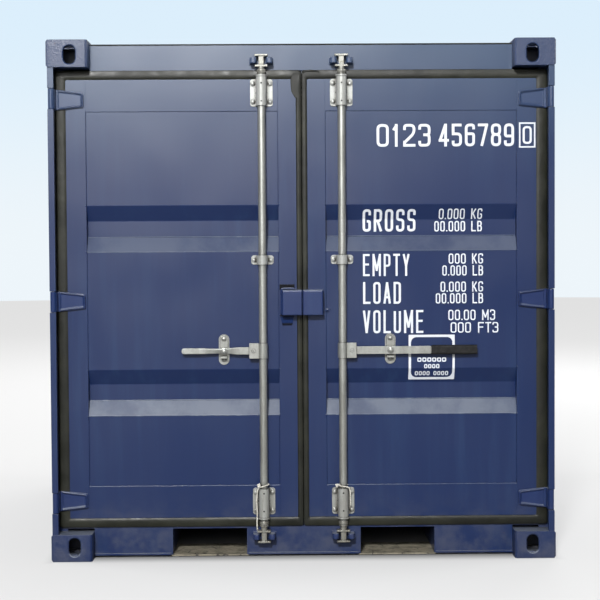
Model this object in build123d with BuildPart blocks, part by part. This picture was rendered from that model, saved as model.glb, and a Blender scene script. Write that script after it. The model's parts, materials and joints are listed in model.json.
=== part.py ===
from build123d import *
import math
import os

# An eight-foot steel storage container with two full-height doors at one end.
# Millimetres, +Z up. The doors face -Y and the origin is the middle of the footprint.
# A depth is measured back from the end plane of the corner castings.

# Overall envelope, over the corner castings
length = 2438.0
width = 2200.0
height = 2260.0

# Corner castings
casting_x = 178.0
casting_y = 162.0
casting_z = 118.0
casting_plate = 28.5
casting_face = 14.0
casting_back = 10.0
casting_chamfer = 8.0
aperture_long = 124.0
aperture_wide = 63.5
aperture_from_side = 101.5
aperture_from_end = 89.0
lashing_high = 79.5
lashing_wide = 51.0
lashing_from_plate = 63.5
lashing_bevel = 4.0

# Posts at the door end, with a hooked bar that shelters the hinge pins
post_sheet = 6.0
post_inset = 6.0
hook_width = 26.0
hook_inset = 3.0
hook_depth = 25.0
post_box_width = 54.0
post_box_depth = 97.0

# Posts at the closed end
rear_post_width = 120.0
rear_post_return = 44.0

# Rails and sheets
rail_inset = 12.0
top_rail = 60.0
top_rail_wall = 3.0
top_rail_drop = 6.0
bottom_rail_wall = 4.5
bottom_rail_width = 52.0
bottom_rail_low = 12.0
bottom_rail_high = 170.0
sheet = 2.0
crest_inset = 12.0
side_pitch = 278.0
side_crest = 72.0
side_valley = 70.0
side_groove_depth = 36.0
rear_pitch = 250.0
rear_crest = 104.0
rear_valley = 34.0
rear_groove_depth = 40.0

# Header and sill of the door opening
beam_depth = 88.0
beam_run = 90.0
beam_wall = 5.0
header_drop = 10.0
header_high = 116.0
sill_low = 10.0
sill_high = 136.0
stop_depth = 98.0
stop_sheet = 6.0
stop_overlap = 30.0
lip_reach = 8.0
lip_high = 8.0

# Fork pockets
pocket_middle = 414.0
pocket_width = 326.0
pocket_high = 126.0
pocket_wall = 6.0
strap_overlap = 10.0
strap_run = 240.0
strap_sheet = 6.0

# Floor
floor_low = 137.0
floor_sheet = 28.0
floor_gap = 0.5
floor_sheets = 3
floor_joint = 3.0
joist_flange = 45.0
joist_wall = 4.0
joist_low = 17.0
joist_rows = 6

# Roof
roof_rib_height = 18.0
roof_rib_width = 110.0
roof_rib_pitch = 234.0
roof_margin = 46.0
roof_slope = 45.0

# Door leaves
leaf_depth = 78.0
leaf_thick = 50.0
leaf_tube_wall = 3.0
leaf_from_side = 69.0
leaf_inner = 23.0
leaf_from_sill = 40.0
leaf_from_header = 39.0
hinge_stile = 90.0
lock_stile = 80.0
top_member = 138.0
bottom_member = 140.0
panel_step = 3.0
groove_depth = 36.0
groove_slope = 65.0
groove_floor = 72.0
groove_levels = (727.5, 1446.0)
groove_bend = 9.0

# Door seals
seal_outer_reach = 47.0
seal_centre_gap = 6.0
seal_gap = 5.0
seal_front_depth = 80.0
seal_thick = 15.0
seal_inner_lip = 8.0
seal_groove = 5.0
seal_groove_deep = 6.0
seal_round = 5.0

# Hinges
pin_inset = 19.0
pin_depth = 17.0
pin_radius = 6.5
pin_running_gap = 0.08
pin_embed = 24.0
knuckle_radius = 12.5
blade_high = 88.0
blade_end_gap = 2.0
blade_tip_high = 62.0
blade_tip_round = 8.0
blade_reach = 133.0
blade_sheet = 12.0
blade_rim = 9.0
blade_press = 4.0
blade_press_slope = 30.0
neck_width = 14.0
hinge_from_low = 79.0
hinge_from_high = 87.0
notch_depth = 62.0
notch_margin = 4.0

# Lock rods
rod_x = 174.0
rod_stand_off = 25.0
rod_radius = 17.0
rod_wall = 3.2
rod_above_sill = 10.0
rod_below_header = 18.0
rod_gap = 0.1
end_bracket_plate_high = 118.0
end_bracket_barrel_high = 133.0
end_bracket_from_low = 71.5
end_bracket_from_high = 59.5
end_bracket_barrel_shift = 9.0
guide_bracket_high = 40.0
guide_bracket_level = 1308.0
bracket_plate_width = 98.0
bracket_plate = 5.0
bracket_plate_round = 12.0
bracket_barrel_radius = 22.5
bracket_flare_radius = 25.0
bracket_flare_high = 6.0
bracket_drain_radius = 3.0
bracket_drain_spacing = 78.0

# Cams on the rod ends and the keepers that they sit in
cam_below_sill = 41.0
cam_above_header = 39.0
cam_high = 54.0
cam_prong_sheet = 8.0
cam_prong_reach = 30.0
cam_prong_front = 13.0
cam_column_x = 22.0
cam_column_y = 20.0
cam_neck_radius = 14.0
cam_collar_radius = 18.0
cam_collar_high = 7.0
keeper_plate_width = 104.0
keeper_plate_high = 32.0
keeper_plate = 4.0
keeper_lug_near = 21.0
keeper_lug_far = 48.0
keeper_lug_high = 24.0
keeper_lug_front_depth = 34.0
keeper_lug_chamfer = 7.0

# Handles
handle_level = 911.0
hub_high = 66.0
hub_wall = 4.0
hub_reach = 60.0
hub_gap = 0.3
handle_pin_reach = 41.0
handle_pin_radius = 6.0
handle_pin_running_gap = 0.08
handle_thick = 12.0
handle_high = 33.0
handle_tip_high = 26.0
handle_step_run = 4.0
handle_eye_back = 14.0
handle_eye_round = 12.0
handle_tip_round = 5.0
left_handle_reach = 355.0
left_handle_knee = 250.0
right_handle_reach = 584.0
right_grip_start = 389.0
grip_high = 41.0
grip_thick = 24.0
grip_round = 9.0
grip_end_sheet = 4.0

# Handle catches
left_catch_reach = 171.0
right_catch_reach = 210.0
catch_level = 916.0
catch_high = 133.0
catch_width = 46.0
catch_plate = 5.0
catch_shelf_drop = 24.0
catch_shelf_high = 8.0
catch_shelf_width = 30.0
catch_shelf_front_depth = 44.0
hasp_pivot_rise = 47.0
hasp_length = 36.0
hasp_sheet = 4.0
hasp_half_width = 16.0
hasp_head_radius = 10.0
hasp_head_sheet = 3.0
hasp_gap = 0.4
hasp_pin_radius = 7.0

# Lock box over the meeting doors
box_low = 1067.0
box_high = 1177.0
box_half_width = 90.0
box_front_depth = 30.0
box_sheet = 4.0
box_round = 7.0
box_centre_gap = 7.0
staple_low = 1022.0
staple_high = 1200.0
staple_near = 35.0
staple_far = 100.0
staple_sheet = 6.0
staple_tab_angle = 75.0

# Ropes tied round the rods above the lower brackets
rope_radius = 3.0
rope_sides = 6
rope_turn_share = 0.45
left_rope_route = (
    (-20.8, -12.0, 78.5),
    (-20.8, 12.0, 79.5),
    (0.0, 24.0, 80.5),
    (20.8, 12.0, 79.5),
    (20.8, -12.0, 77.5),
    (0.0, -24.5, 72.5),
    (-26.0, -13.0, 64.0),
    (-31.5, -2.0, 32.0),
    (-32.5, 2.0, -12.5),
    (-30.5, 3.5, -52.5),
    (-32.0, 2.0, -97.5),
    (-31.0, 3.0, -119.5),
)
right_rope_route = (
    (20.8, 12.0, 70.5),
    (0.0, 24.0, 72.5),
    (-20.8, 12.0, 73.5),
    (-20.8, -12.0, 71.5),
    (0.0, -24.5, 68.5),
    (26.0, -13.0, 63.0),
    (31.5, -2.0, 32.5),
    (31.0, 2.0, 3.0),
    (32.5, 1.0, -16.0),
)

# Values that follow from the driving sizes
side = width / 2
front = -length / 2
back = length / 2
leaf_face = front + leaf_depth
beam_face = front + beam_depth
pin_x = side - pin_inset
pin_y = front + pin_depth
rod_y = leaf_face - rod_stand_off
post_back = front + casting_y
header_low = height - header_drop - header_high
leaf_outer = side - leaf_from_side
leaf_low = sill_high + leaf_from_sill
leaf_high = header_low - leaf_from_header
hinge_low = leaf_low + hinge_from_low
hinge_high = leaf_high - hinge_from_high
hinge_levels = (hinge_low, (hinge_low + hinge_high) / 2, hinge_high)
rod_low = sill_high + rod_above_sill
rod_high = header_low - rod_below_header
end_bracket_levels = (leaf_low + end_bracket_from_low, leaf_high - end_bracket_from_high)
cam_levels = (sill_high - cam_below_sill, header_low + cam_above_header)
rear_wall_half = side - post_inset - rear_post_width
side_grooves = int((length - 2 * casting_y - side_crest) / side_pitch)
rear_grooves = int((2 * rear_wall_half - rear_crest) / rear_pitch)
roof_ribs = int((length - 2 * casting_y) / roof_rib_pitch)
wall_low = bottom_rail_high
wall_high = height - top_rail_drop - top_rail
panel_low = leaf_low + bottom_member
panel_high = leaf_high - top_member
panel_outer = leaf_outer - hinge_stile
panel_inner = leaf_inner + lock_stile
cavity_x = casting_x - casting_face - casting_back
cavity_y = casting_y - casting_face - casting_back
cavity_z = casting_z - casting_plate - casting_back

os.makedirs("parts", exist_ok=True)


def save(name, piece):
    piece.part.label = name
    export_step(piece.part, f"parts/{name}.step")


def mirrored(piece):
    with BuildPart() as other:
        mirror(piece.part, about=Plane.YZ)
    return other


def corrugated(start, stop, grooves, pitch, crest, valley, depth):
    slope = (pitch - crest - valley) / 2
    points = [(start, 0)]
    for number in range(grooves):
        middle = (start + stop) / 2 + (number - (grooves - 1) / 2) * pitch
        points += [
            (middle - valley / 2 - slope, 0),
            (middle - valley / 2, depth),
            (middle + valley / 2, depth),
            (middle + valley / 2 + slope, 0),
        ]
    return points + [(stop, 0)]


# Corner castings
def corner_castings():
    hole_x = -side + aperture_from_side
    hole_y = front + aperture_from_end
    with BuildPart() as castings:
        with BuildSketch():
            with Locations((-side + casting_x / 2, front + casting_y / 2)):
                Rectangle(casting_x, casting_y)
        extrude(amount=casting_z)
        side_face = castings.faces().sort_by(Axis.X)[0]
        end_face = castings.faces().sort_by(Axis.Y)[0]
        inner_edge = end_face.edges().filter_by(Axis.Z).sort_by(Axis.X)[-1]
        chamfer(side_face.edges() + inner_edge, casting_chamfer)
        with BuildSketch(Plane.XY.offset(casting_plate)):
            with Locations((-side + casting_face + cavity_x / 2, front + casting_face + cavity_y / 2)):
                Rectangle(cavity_x, cavity_y)
        extrude(amount=cavity_z, mode=Mode.SUBTRACT)
        with BuildSketch():
            with Locations((hole_x, hole_y)):
                SlotOverall(aperture_long, aperture_wide)
        extrude(amount=casting_plate, mode=Mode.SUBTRACT)
        with BuildSketch(Plane.XZ.offset(-front)):
            with Locations((hole_x, lashing_from_plate)):
                SlotOverall(lashing_high, lashing_wide, rotation=90)
        extrude(amount=-casting_face, mode=Mode.SUBTRACT)
        chamfer(castings.faces().sort_by(Axis.Y)[0].inner_wires()[0].edges(), lashing_bevel)
        with BuildSketch(Plane.YZ.offset(-side)):
            with Locations((hole_y, lashing_from_plate)):
                SlotOverall(lashing_high, lashing_wide, rotation=90)
        extrude(amount=casting_face, mode=Mode.SUBTRACT)
        mirror(about=Plane.YZ)
        mirror(about=Plane.XZ)
    return castings


bottom_corner_castings = corner_castings()
save("bottom_corner_castings", bottom_corner_castings)

with BuildPart() as top_corner_castings:
    mirror(bottom_corner_castings.part, about=Plane.XY.offset(height / 2))
save("top_corner_castings", top_corner_castings)


# Door posts: a box behind the seal, a web beside it and a hooked bar round the hinge pins
hook_near = front + hook_inset
hook_far = hook_near + hook_depth
hook_middle_x = -side + post_inset + hook_width / 2

with BuildPart() as door_corner_posts:
    with BuildSketch(Plane.XY.offset(casting_z)):
        with Locations((hook_middle_x, (hook_near + hook_far) / 2)):
            Rectangle(hook_width, hook_depth)
        with Locations((-side + post_inset + post_sheet / 2, (hook_near + post_back) / 2)):
            Rectangle(post_sheet, post_back - hook_near)
        with Locations((-side + post_inset + post_box_width / 2, (front + post_box_depth + post_back) / 2)):
            Rectangle(post_box_width, casting_y - post_box_depth)
            Rectangle(
                post_box_width - 2 * post_sheet,
                casting_y - post_box_depth - 2 * post_sheet,
                mode=Mode.SUBTRACT,
            )
        with Locations((hook_middle_x, (hook_near + hook_far) / 2 + post_sheet)):
            Rectangle(hook_width - 2 * post_sheet, hook_depth, mode=Mode.SUBTRACT)
    extrude(amount=height - 2 * casting_z)
    for level in hinge_levels:
        with BuildSketch(Plane.XY.offset(level - blade_high / 2 - blade_end_gap)):
            with Locations((hook_middle_x, front + notch_depth / 2)):
                Rectangle(hook_width + notch_margin, notch_depth)
        extrude(amount=blade_high + 2 * blade_end_gap, mode=Mode.SUBTRACT)
    mirror(about=Plane.YZ)
save("door_corner_posts", door_corner_posts)

# Hinge pins, each with the two lugs that hold it inside the hooked bar
with BuildPart() as hinge_pins:
    for level in hinge_levels:
        notch_low = level - blade_high / 2 - blade_end_gap
        notch_high = level + blade_high / 2 + blade_end_gap
        for start in (notch_low - pin_embed, notch_high):
            with BuildSketch(Plane.XY.offset(start)):
                with Locations((hook_middle_x, (hook_near + post_sheet + hook_far) / 2)):
                    Rectangle(hook_width - 2 * post_sheet, hook_depth - post_sheet)
            extrude(amount=pin_embed)
        with BuildSketch(Plane.XY.offset(notch_low)):
            with Locations((-pin_x, pin_y)):
                Circle(pin_radius)
        extrude(amount=notch_high - notch_low)
    mirror(about=Plane.YZ)
save("hinge_pins", hinge_pins)


# Rear posts: an angle with returned lips
with BuildPart() as rear_corner_posts:
    with BuildSketch(Plane.XY.offset(casting_z)):
        with BuildLine():
            Polyline(
                (-side + post_inset + rear_post_return, back - casting_y),
                (-side + post_inset, back - casting_y),
                (-side + post_inset, back - post_inset),
                (-side + post_inset + rear_post_width, back - post_inset),
                (-side + post_inset + rear_post_width, back - post_inset - rear_post_return),
                (-side + post_inset + rear_post_width - post_sheet, back - post_inset - rear_post_return),
                (-side + post_inset + rear_post_width - post_sheet, back - post_inset - post_sheet),
                (-side + post_inset + post_sheet, back - post_inset - post_sheet),
                (-side + post_inset + post_sheet, back - casting_y + post_sheet),
                (-side + post_inset + rear_post_return, back - casting_y + post_sheet),
                close=True,
            )
        make_face()
    extrude(amount=height - 2 * casting_z)
    mirror(about=Plane.YZ)
save("rear_corner_posts", rear_corner_posts)


# Rails along the sides
with BuildPart() as top_side_rails:
    with BuildSketch(Plane.XZ.offset(-post_back)):
        with Locations((-side + rail_inset + top_rail / 2, height - top_rail_drop - top_rail / 2)):
            Rectangle(top_rail, top_rail)
            Rectangle(top_rail - 2 * top_rail_wall, top_rail - 2 * top_rail_wall, mode=Mode.SUBTRACT)
    extrude(amount=-(length - 2 * casting_y))
    mirror(about=Plane.YZ)
save("top_side_rails", top_side_rails)

with BuildPart() as bottom_side_rails:
    rail_high = bottom_rail_high - bottom_rail_low
    with BuildSketch(Plane.XZ.offset(-post_back)):
        with Locations((-side + rail_inset + bottom_rail_width / 2, bottom_rail_low + rail_high / 2)):
            Rectangle(bottom_rail_width, rail_high)
        with Locations(
            (
                -side + rail_inset + (bottom_rail_width + bottom_rail_wall) / 2,
                bottom_rail_low + rail_high / 2,
            )
        ):
            Rectangle(
                bottom_rail_width - bottom_rail_wall,
                rail_high - 2 * bottom_rail_wall,
                mode=Mode.SUBTRACT,
            )
    extrude(amount=-(length - 2 * casting_y))
    mirror(about=Plane.YZ)
save("bottom_side_rails", bottom_side_rails)


# Side walls: upright grooves pressed into one sheet
with BuildPart() as left_side_wall:
    with BuildSketch(Plane.XY.offset(wall_low)):
        with BuildLine():
            run = corrugated(
                post_back,
                back - casting_y,
                side_grooves,
                side_pitch,
                side_crest,
                side_valley,
                side_groove_depth,
            )
            Polyline(*[(-side + crest_inset + step, y) for y, step in run])
            offset(amount=sheet, side=Side.RIGHT)
        make_face()
    extrude(amount=wall_high - wall_low)
save("left_side_wall", left_side_wall)
save("right_side_wall", mirrored(left_side_wall))


# Closed end
rear_beam_back = back - rail_inset

with BuildPart() as rear_wall:
    with BuildSketch(Plane.XY.offset(sill_high)):
        with BuildLine():
            run = corrugated(
                -rear_wall_half,
                rear_wall_half,
                rear_grooves,
                rear_pitch,
                rear_crest,
                rear_valley,
                rear_groove_depth,
            )
            Polyline(*[(x, back - crest_inset - step) for x, step in run])
            offset(amount=sheet, side=Side.RIGHT)
        make_face()
    extrude(amount=wall_high - sill_high)
    with BuildSketch(Plane.XY.offset(height - casting_z)):
        with Locations((casting_x / 2 - side, back), (side - casting_x / 2, back)):
            Rectangle(casting_x, 2 * casting_y)
    extrude(amount=casting_z, mode=Mode.SUBTRACT)
save("rear_wall", rear_wall)

with BuildPart() as rear_header:
    with BuildSketch(Plane.YZ.offset(-(side - casting_x))):
        with Locations((rear_beam_back - top_rail / 2, height - top_rail_drop - top_rail / 2)):
            Rectangle(top_rail, top_rail)
            Rectangle(top_rail - 2 * top_rail_wall, top_rail - 2 * top_rail_wall, mode=Mode.SUBTRACT)
    extrude(amount=2 * (side - casting_x))
save("rear_header", rear_header)


# Beams with the fork pockets through them
def pocket_beam(near, far):
    run = far - near
    middle = (near + far) / 2
    high = sill_high - sill_low
    with BuildPart() as beam:
        with BuildSketch(Plane.YZ.offset(-(side - casting_x))):
            with Locations((middle, sill_low + high / 2)):
                Rectangle(run, high)
                Rectangle(run - 2 * beam_wall, high - 2 * beam_wall, mode=Mode.SUBTRACT)
        extrude(amount=2 * (side - casting_x))
        with BuildSketch(Plane.XZ.offset(-near)):
            with Locations(
                (-pocket_middle, (sill_low + sill_high) / 2),
                (pocket_middle, (sill_low + sill_high) / 2),
            ):
                Rectangle(pocket_width + 2 * pocket_wall, high)
        extrude(amount=-run)
        with BuildSketch(Plane.XZ.offset(-near)):
            opening_high = pocket_high - sill_low
            with Locations(
                (-pocket_middle, sill_low + opening_high / 2),
                (pocket_middle, sill_low + opening_high / 2),
            ):
                Rectangle(pocket_width, opening_high)
        extrude(amount=-run, mode=Mode.SUBTRACT)
    return beam


with BuildPart() as door_sill:
    add(pocket_beam(beam_face, beam_face + beam_run).part)
    with BuildSketch(Plane.XZ.offset(-(front + stop_depth))):
        with Locations((0, (pocket_high + sill_high + stop_overlap) / 2)):
            Rectangle(2 * (side - post_inset - post_box_width), sill_high + stop_overlap - pocket_high)
    extrude(amount=-stop_sheet)
    lip_ends = (
        (-side + casting_x, -pocket_middle - pocket_width / 2 - pocket_wall),
        (-pocket_middle + pocket_width / 2 + pocket_wall, pocket_middle - pocket_width / 2 - pocket_wall),
        (pocket_middle + pocket_width / 2 + pocket_wall, side - casting_x),
    )
    for near, far in lip_ends:
        with BuildSketch(Plane.YZ.offset(near)):
            with Locations((beam_face - lip_reach / 2, sill_low + lip_high / 2)):
                Rectangle(lip_reach, lip_high)
        extrude(amount=far - near)
save("door_sill", door_sill)

with BuildPart() as rear_sill:
    add(pocket_beam(rear_beam_back - beam_run, rear_beam_back).part)
    with BuildSketch(Plane.XZ.offset(-(rear_beam_back - beam_run))):
        with Locations((0, (pocket_high + sill_high) / 2)):
            Rectangle(2 * rear_wall_half, sill_high - pocket_high)
    extrude(amount=-beam_run)
save("rear_sill", rear_sill)

with BuildPart() as door_header:
    with BuildSketch(Plane.YZ.offset(-(side - casting_x))):
        with Locations((beam_face + beam_run / 2, header_low + header_high / 2)):
            Rectangle(beam_run, header_high)
            Rectangle(beam_run - 2 * beam_wall, header_high - 2 * beam_wall, mode=Mode.SUBTRACT)
    extrude(amount=2 * (side - casting_x))
    with BuildSketch(Plane.XZ.offset(-(front + stop_depth))):
        with Locations((0, header_low - stop_overlap / 2)):
            Rectangle(2 * (side - post_inset - post_box_width), stop_overlap)
    extrude(amount=-stop_sheet)
save("door_header", door_header)


# Fork pocket tunnels and the straps under their ends
with BuildPart() as fork_pockets:
    with BuildSketch(Plane.XZ.offset(-(beam_face + beam_run))):
        with Locations((-pocket_middle, (sill_low + floor_low) / 2)):
            Rectangle(pocket_width + 2 * pocket_wall, floor_low - sill_low)
        with Locations((-pocket_middle, (sill_low + floor_low - pocket_wall) / 2)):
            Rectangle(pocket_width, floor_low - sill_low - pocket_wall, mode=Mode.SUBTRACT)
    extrude(amount=-(rear_beam_back - beam_face - 2 * beam_run))
    mirror(about=Plane.YZ)
save("fork_pockets", fork_pockets)

with BuildPart() as pocket_straps:
    with BuildSketch(Plane.XY.offset(sill_low - strap_sheet)):
        for middle in (-pocket_middle, pocket_middle):
            with Locations((middle, beam_face + strap_run / 2), (middle, rear_beam_back - strap_run / 2)):
                Rectangle(pocket_width + 2 * strap_overlap, strap_run)
    extrude(amount=strap_sheet)
save("pocket_straps", pocket_straps)


# Floor: joists between the rails and pockets, and plywood on top
with BuildPart() as floor_joists:
    joist_near = beam_face + beam_run
    joist_far = rear_beam_back - beam_run
    joist_high = floor_low - joist_low
    web_inner = side - rail_inset - bottom_rail_wall
    pocket_far = pocket_middle + pocket_width / 2 + pocket_wall
    pocket_near = pocket_middle - pocket_width / 2 - pocket_wall
    for number in range(joist_rows):
        joist_y = joist_near + (number + 1) * (joist_far - joist_near) / (joist_rows + 1)
        for low, high in ((-web_inner, -pocket_far), (-pocket_near, pocket_near), (pocket_far, web_inner)):
            with BuildSketch(Plane.YZ.offset(low)):
                with Locations((joist_y, joist_low + joist_high / 2)):
                    Rectangle(joist_flange, joist_high)
                with Locations((joist_y + joist_wall, joist_low + joist_high / 2)):
                    Rectangle(joist_flange, joist_high - 2 * joist_wall, mode=Mode.SUBTRACT)
            extrude(amount=high - low)
save("floor_joists", floor_joists)

with BuildPart() as floor_boards:
    floor_near = front + stop_depth + stop_sheet
    floor_far = back - crest_inset - rear_groove_depth - 2 * sheet
    floor_half = side - rail_inset - bottom_rail_width - floor_gap
    board = (floor_far - floor_near - (floor_sheets - 1) * floor_joint) / floor_sheets
    with BuildSketch(Plane.XY.offset(floor_low)):
        for number in range(floor_sheets):
            with Locations((0, floor_near + board / 2 + number * (board + floor_joint))):
                Rectangle(2 * floor_half, board)
    extrude(amount=floor_sheet)
save("floor_boards", floor_boards)


# Roof: one sheet between the rails, with raised ribs pressed across it
with BuildPart() as roof_panel:
    roof_level = height - top_rail_drop - roof_rib_height - 2 * sheet
    roof_half = side - rail_inset - top_rail
    roof_run = length - 2 * casting_y
    roof_near = beam_face + beam_run
    roof_far = rear_beam_back - top_rail
    rib_middles = [(0, (number - (roof_ribs - 1) / 2) * roof_rib_pitch) for number in range(roof_ribs)]
    with BuildSketch(Plane.XY.offset(roof_level)):
        Rectangle(2 * roof_half, roof_run)
        with Locations((0, (roof_near - roof_run / 2) / 2)):
            Rectangle(2 * (side - casting_x), -roof_near - roof_run / 2, mode=Mode.SUBTRACT)
        with Locations((0, (roof_run / 2 + roof_far) / 2)):
            Rectangle(2 * (side - casting_x), roof_far - roof_run / 2)
        with Locations((0, -roof_run / 2)):
            Rectangle(2 * (side - casting_x), 2 * (roof_near + roof_run / 2), mode=Mode.SUBTRACT)
    extrude(amount=sheet)
    for step, mode in ((sheet, Mode.ADD), (0, Mode.SUBTRACT)):
        with BuildSketch(Plane.XY.offset(roof_level + step)):
            with Locations(*rib_middles):
                Rectangle(2 * (roof_half - roof_margin), roof_rib_width)
        extrude(amount=roof_rib_height, taper=roof_slope, mode=mode)
save("roof_panel", roof_panel)


# Keepers on the header and sill
def keepers(level):
    with BuildPart() as pair:
        with BuildSketch(Plane.XZ.offset(-beam_face)):
            with Locations((-rod_x, level), (rod_x, level)):
                Rectangle(keeper_plate_width, keeper_plate_high)
        extrude(amount=keeper_plate)
        lug_middle = (keeper_lug_near + keeper_lug_far) / 2
        for middle in (-rod_x, rod_x):
            with BuildSketch(Plane.XY.offset(level - keeper_lug_high / 2)):
                with Locations((middle - lug_middle, (front + keeper_lug_front_depth + beam_face) / 2)):
                    Rectangle(keeper_lug_far - keeper_lug_near, beam_face - front - keeper_lug_front_depth)
                with Locations((middle + lug_middle, (front + keeper_lug_front_depth + beam_face) / 2)):
                    Rectangle(keeper_lug_far - keeper_lug_near, beam_face - front - keeper_lug_front_depth)
            extrude(amount=keeper_lug_high)
        front_edges = pair.edges().filter_by(Axis.Z).filter_by_position(
            Axis.Y,
            front + keeper_lug_front_depth - pin_running_gap,
            front + keeper_lug_front_depth + pin_running_gap,
        )
        chamfer(front_edges, keeper_lug_chamfer)
    return pair


save("bottom_keepers", keepers(cam_levels[0]))
save("top_keepers", keepers(cam_levels[1]))


# Door leaves, built on the left and mirrored
with BuildPart() as left_door_stiles:
    with BuildSketch(Plane.XY.offset(leaf_low)):
        leaf_middle_y = leaf_face + leaf_thick / 2
        for middle, wide in (
            (-leaf_outer + hinge_stile / 2, hinge_stile),
            (-leaf_inner - lock_stile / 2, lock_stile),
        ):
            with Locations((middle, leaf_middle_y)):
                Rectangle(wide, leaf_thick)
                Rectangle(wide - 2 * leaf_tube_wall, leaf_thick - 2 * leaf_tube_wall, mode=Mode.SUBTRACT)
    extrude(amount=leaf_high - leaf_low)
save("left_door_stiles", left_door_stiles)
save("right_door_stiles", mirrored(left_door_stiles))

with BuildPart() as left_door_rails:
    with BuildSketch(Plane.YZ.offset(-panel_outer)):
        for middle, high in (
            (leaf_low + bottom_member / 2, bottom_member),
            (leaf_high - top_member / 2, top_member),
        ):
            with Locations((leaf_middle_y, middle)):
                Rectangle(leaf_thick, high)
                Rectangle(leaf_thick - 2 * leaf_tube_wall, high - 2 * leaf_tube_wall, mode=Mode.SUBTRACT)
    extrude(amount=panel_outer - panel_inner)
save("left_door_rails", left_door_rails)
save("right_door_rails", mirrored(left_door_rails))

with BuildPart() as left_door_panel:
    panel_face = leaf_face + panel_step
    with BuildSketch(Plane.YZ.offset(-panel_outer)):
        with BuildLine():
            points = [(panel_face, panel_low)]
            for middle in groove_levels:
                edge = groove_floor / 2 + groove_slope
                points += [
                    (panel_face, middle - edge),
                    (panel_face + groove_depth, middle - groove_floor / 2),
                    (panel_face + groove_depth, middle + groove_floor / 2),
                    (panel_face, middle + edge),
                ]
            FilletPolyline(*points, (panel_face, panel_high), radius=groove_bend)
            offset(amount=sheet, side=Side.RIGHT)
        make_face()
    extrude(amount=panel_outer - panel_inner)
save("left_door_panel", left_door_panel)
save("right_door_panel", mirrored(left_door_panel))

with BuildPart() as left_door_seal:
    seal_outer = leaf_outer + seal_outer_reach
    seal_low = sill_high + seal_gap
    seal_high = header_low - seal_gap
    with BuildSketch(Plane.XZ.offset(-(front + seal_front_depth))):
        with Locations(((-seal_outer - seal_centre_gap / 2) / 2, (seal_low + seal_high) / 2)):
            Rectangle(seal_outer - seal_centre_gap / 2, seal_high - seal_low)
    extrude(amount=-seal_thick)
    fillet(left_door_seal.faces().sort_by(Axis.Y)[0].edges(), seal_round)
    with BuildSketch(Plane.XZ.offset(-(front + seal_front_depth))):
        with Locations(((-leaf_outer - leaf_inner) / 2, (leaf_low + leaf_high) / 2)):
            Rectangle(leaf_outer - leaf_inner, leaf_high - leaf_low)
    extrude(amount=-seal_thick, mode=Mode.SUBTRACT)
    groove_near = 2 * seal_inner_lip
    groove_far = 2 * (seal_inner_lip + seal_groove)
    with BuildSketch(Plane.XZ.offset(-(front + seal_front_depth))):
        with Locations(((-leaf_outer - leaf_inner) / 2, (leaf_low + leaf_high) / 2)):
            Rectangle(leaf_outer - leaf_inner + groove_far, leaf_high - leaf_low + groove_far)
            Rectangle(
                leaf_outer - leaf_inner + groove_near,
                leaf_high - leaf_low + groove_near,
                mode=Mode.SUBTRACT,
            )
    extrude(amount=-seal_groove_deep, mode=Mode.SUBTRACT)
save("left_door_seal", left_door_seal)
save("right_door_seal", mirrored(left_door_seal))


# Hinge blades: knuckle, neck and a plate that narrows to its tip
def hinge_blade(level):
    plate_back = leaf_face
    tip_x = -pin_x + blade_reach
    with BuildPart() as blade:
        with BuildSketch(Plane.XY.offset(level - blade_high / 2)):
            with Locations((-pin_x, pin_y)):
                Circle(knuckle_radius)
            with Locations((-pin_x + neck_width / 2, (pin_y + plate_back) / 2)):
                Rectangle(neck_width, plate_back - pin_y)
            with Locations(((-pin_x + tip_x) / 2, plate_back - blade_sheet / 2)):
                Rectangle(blade_reach, blade_sheet)
            with Locations((-pin_x, pin_y)):
                Circle(pin_radius + pin_running_gap, mode=Mode.SUBTRACT)
        extrude(amount=blade_high)
        with BuildSketch(Plane.XZ.offset(-plate_back)):
            with BuildLine():
                Polyline(
                    (-pin_x - knuckle_radius, level - blade_high / 2),
                    (-pin_x + neck_width, level - blade_high / 2),
                    (tip_x, level - blade_tip_high / 2),
                    (tip_x, level + blade_tip_high / 2),
                    (-pin_x + neck_width, level + blade_high / 2),
                    (-pin_x - knuckle_radius, level + blade_high / 2),
                    close=True,
                )
            make_face()
        extrude(amount=plate_back - pin_y + knuckle_radius, mode=Mode.INTERSECT)
        tip_edges = blade.edges().filter_by(Axis.Y).group_by(Axis.X)[-1]
        fillet(tip_edges, blade_tip_round)
        with BuildSketch(Plane.XZ.offset(-(plate_back - blade_sheet))):
            with BuildLine():
                Polyline(
                    (-pin_x + neck_width + blade_rim, level - blade_high / 2 + blade_rim),
                    (tip_x - blade_rim, level - blade_tip_high / 2 + blade_rim),
                    (tip_x - blade_rim, level + blade_tip_high / 2 - blade_rim),
                    (-pin_x + neck_width + blade_rim, level + blade_high / 2 - blade_rim),
                    close=True,
                )
            make_face()
        extrude(amount=-blade_press, taper=blade_press_slope, mode=Mode.SUBTRACT)
    return blade


with BuildPart() as left_hinge_blades:
    for level in hinge_levels:
        add(hinge_blade(level).part)
save("left_hinge_blades", left_hinge_blades)
save("right_hinge_blades", mirrored(left_hinge_blades))


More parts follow.
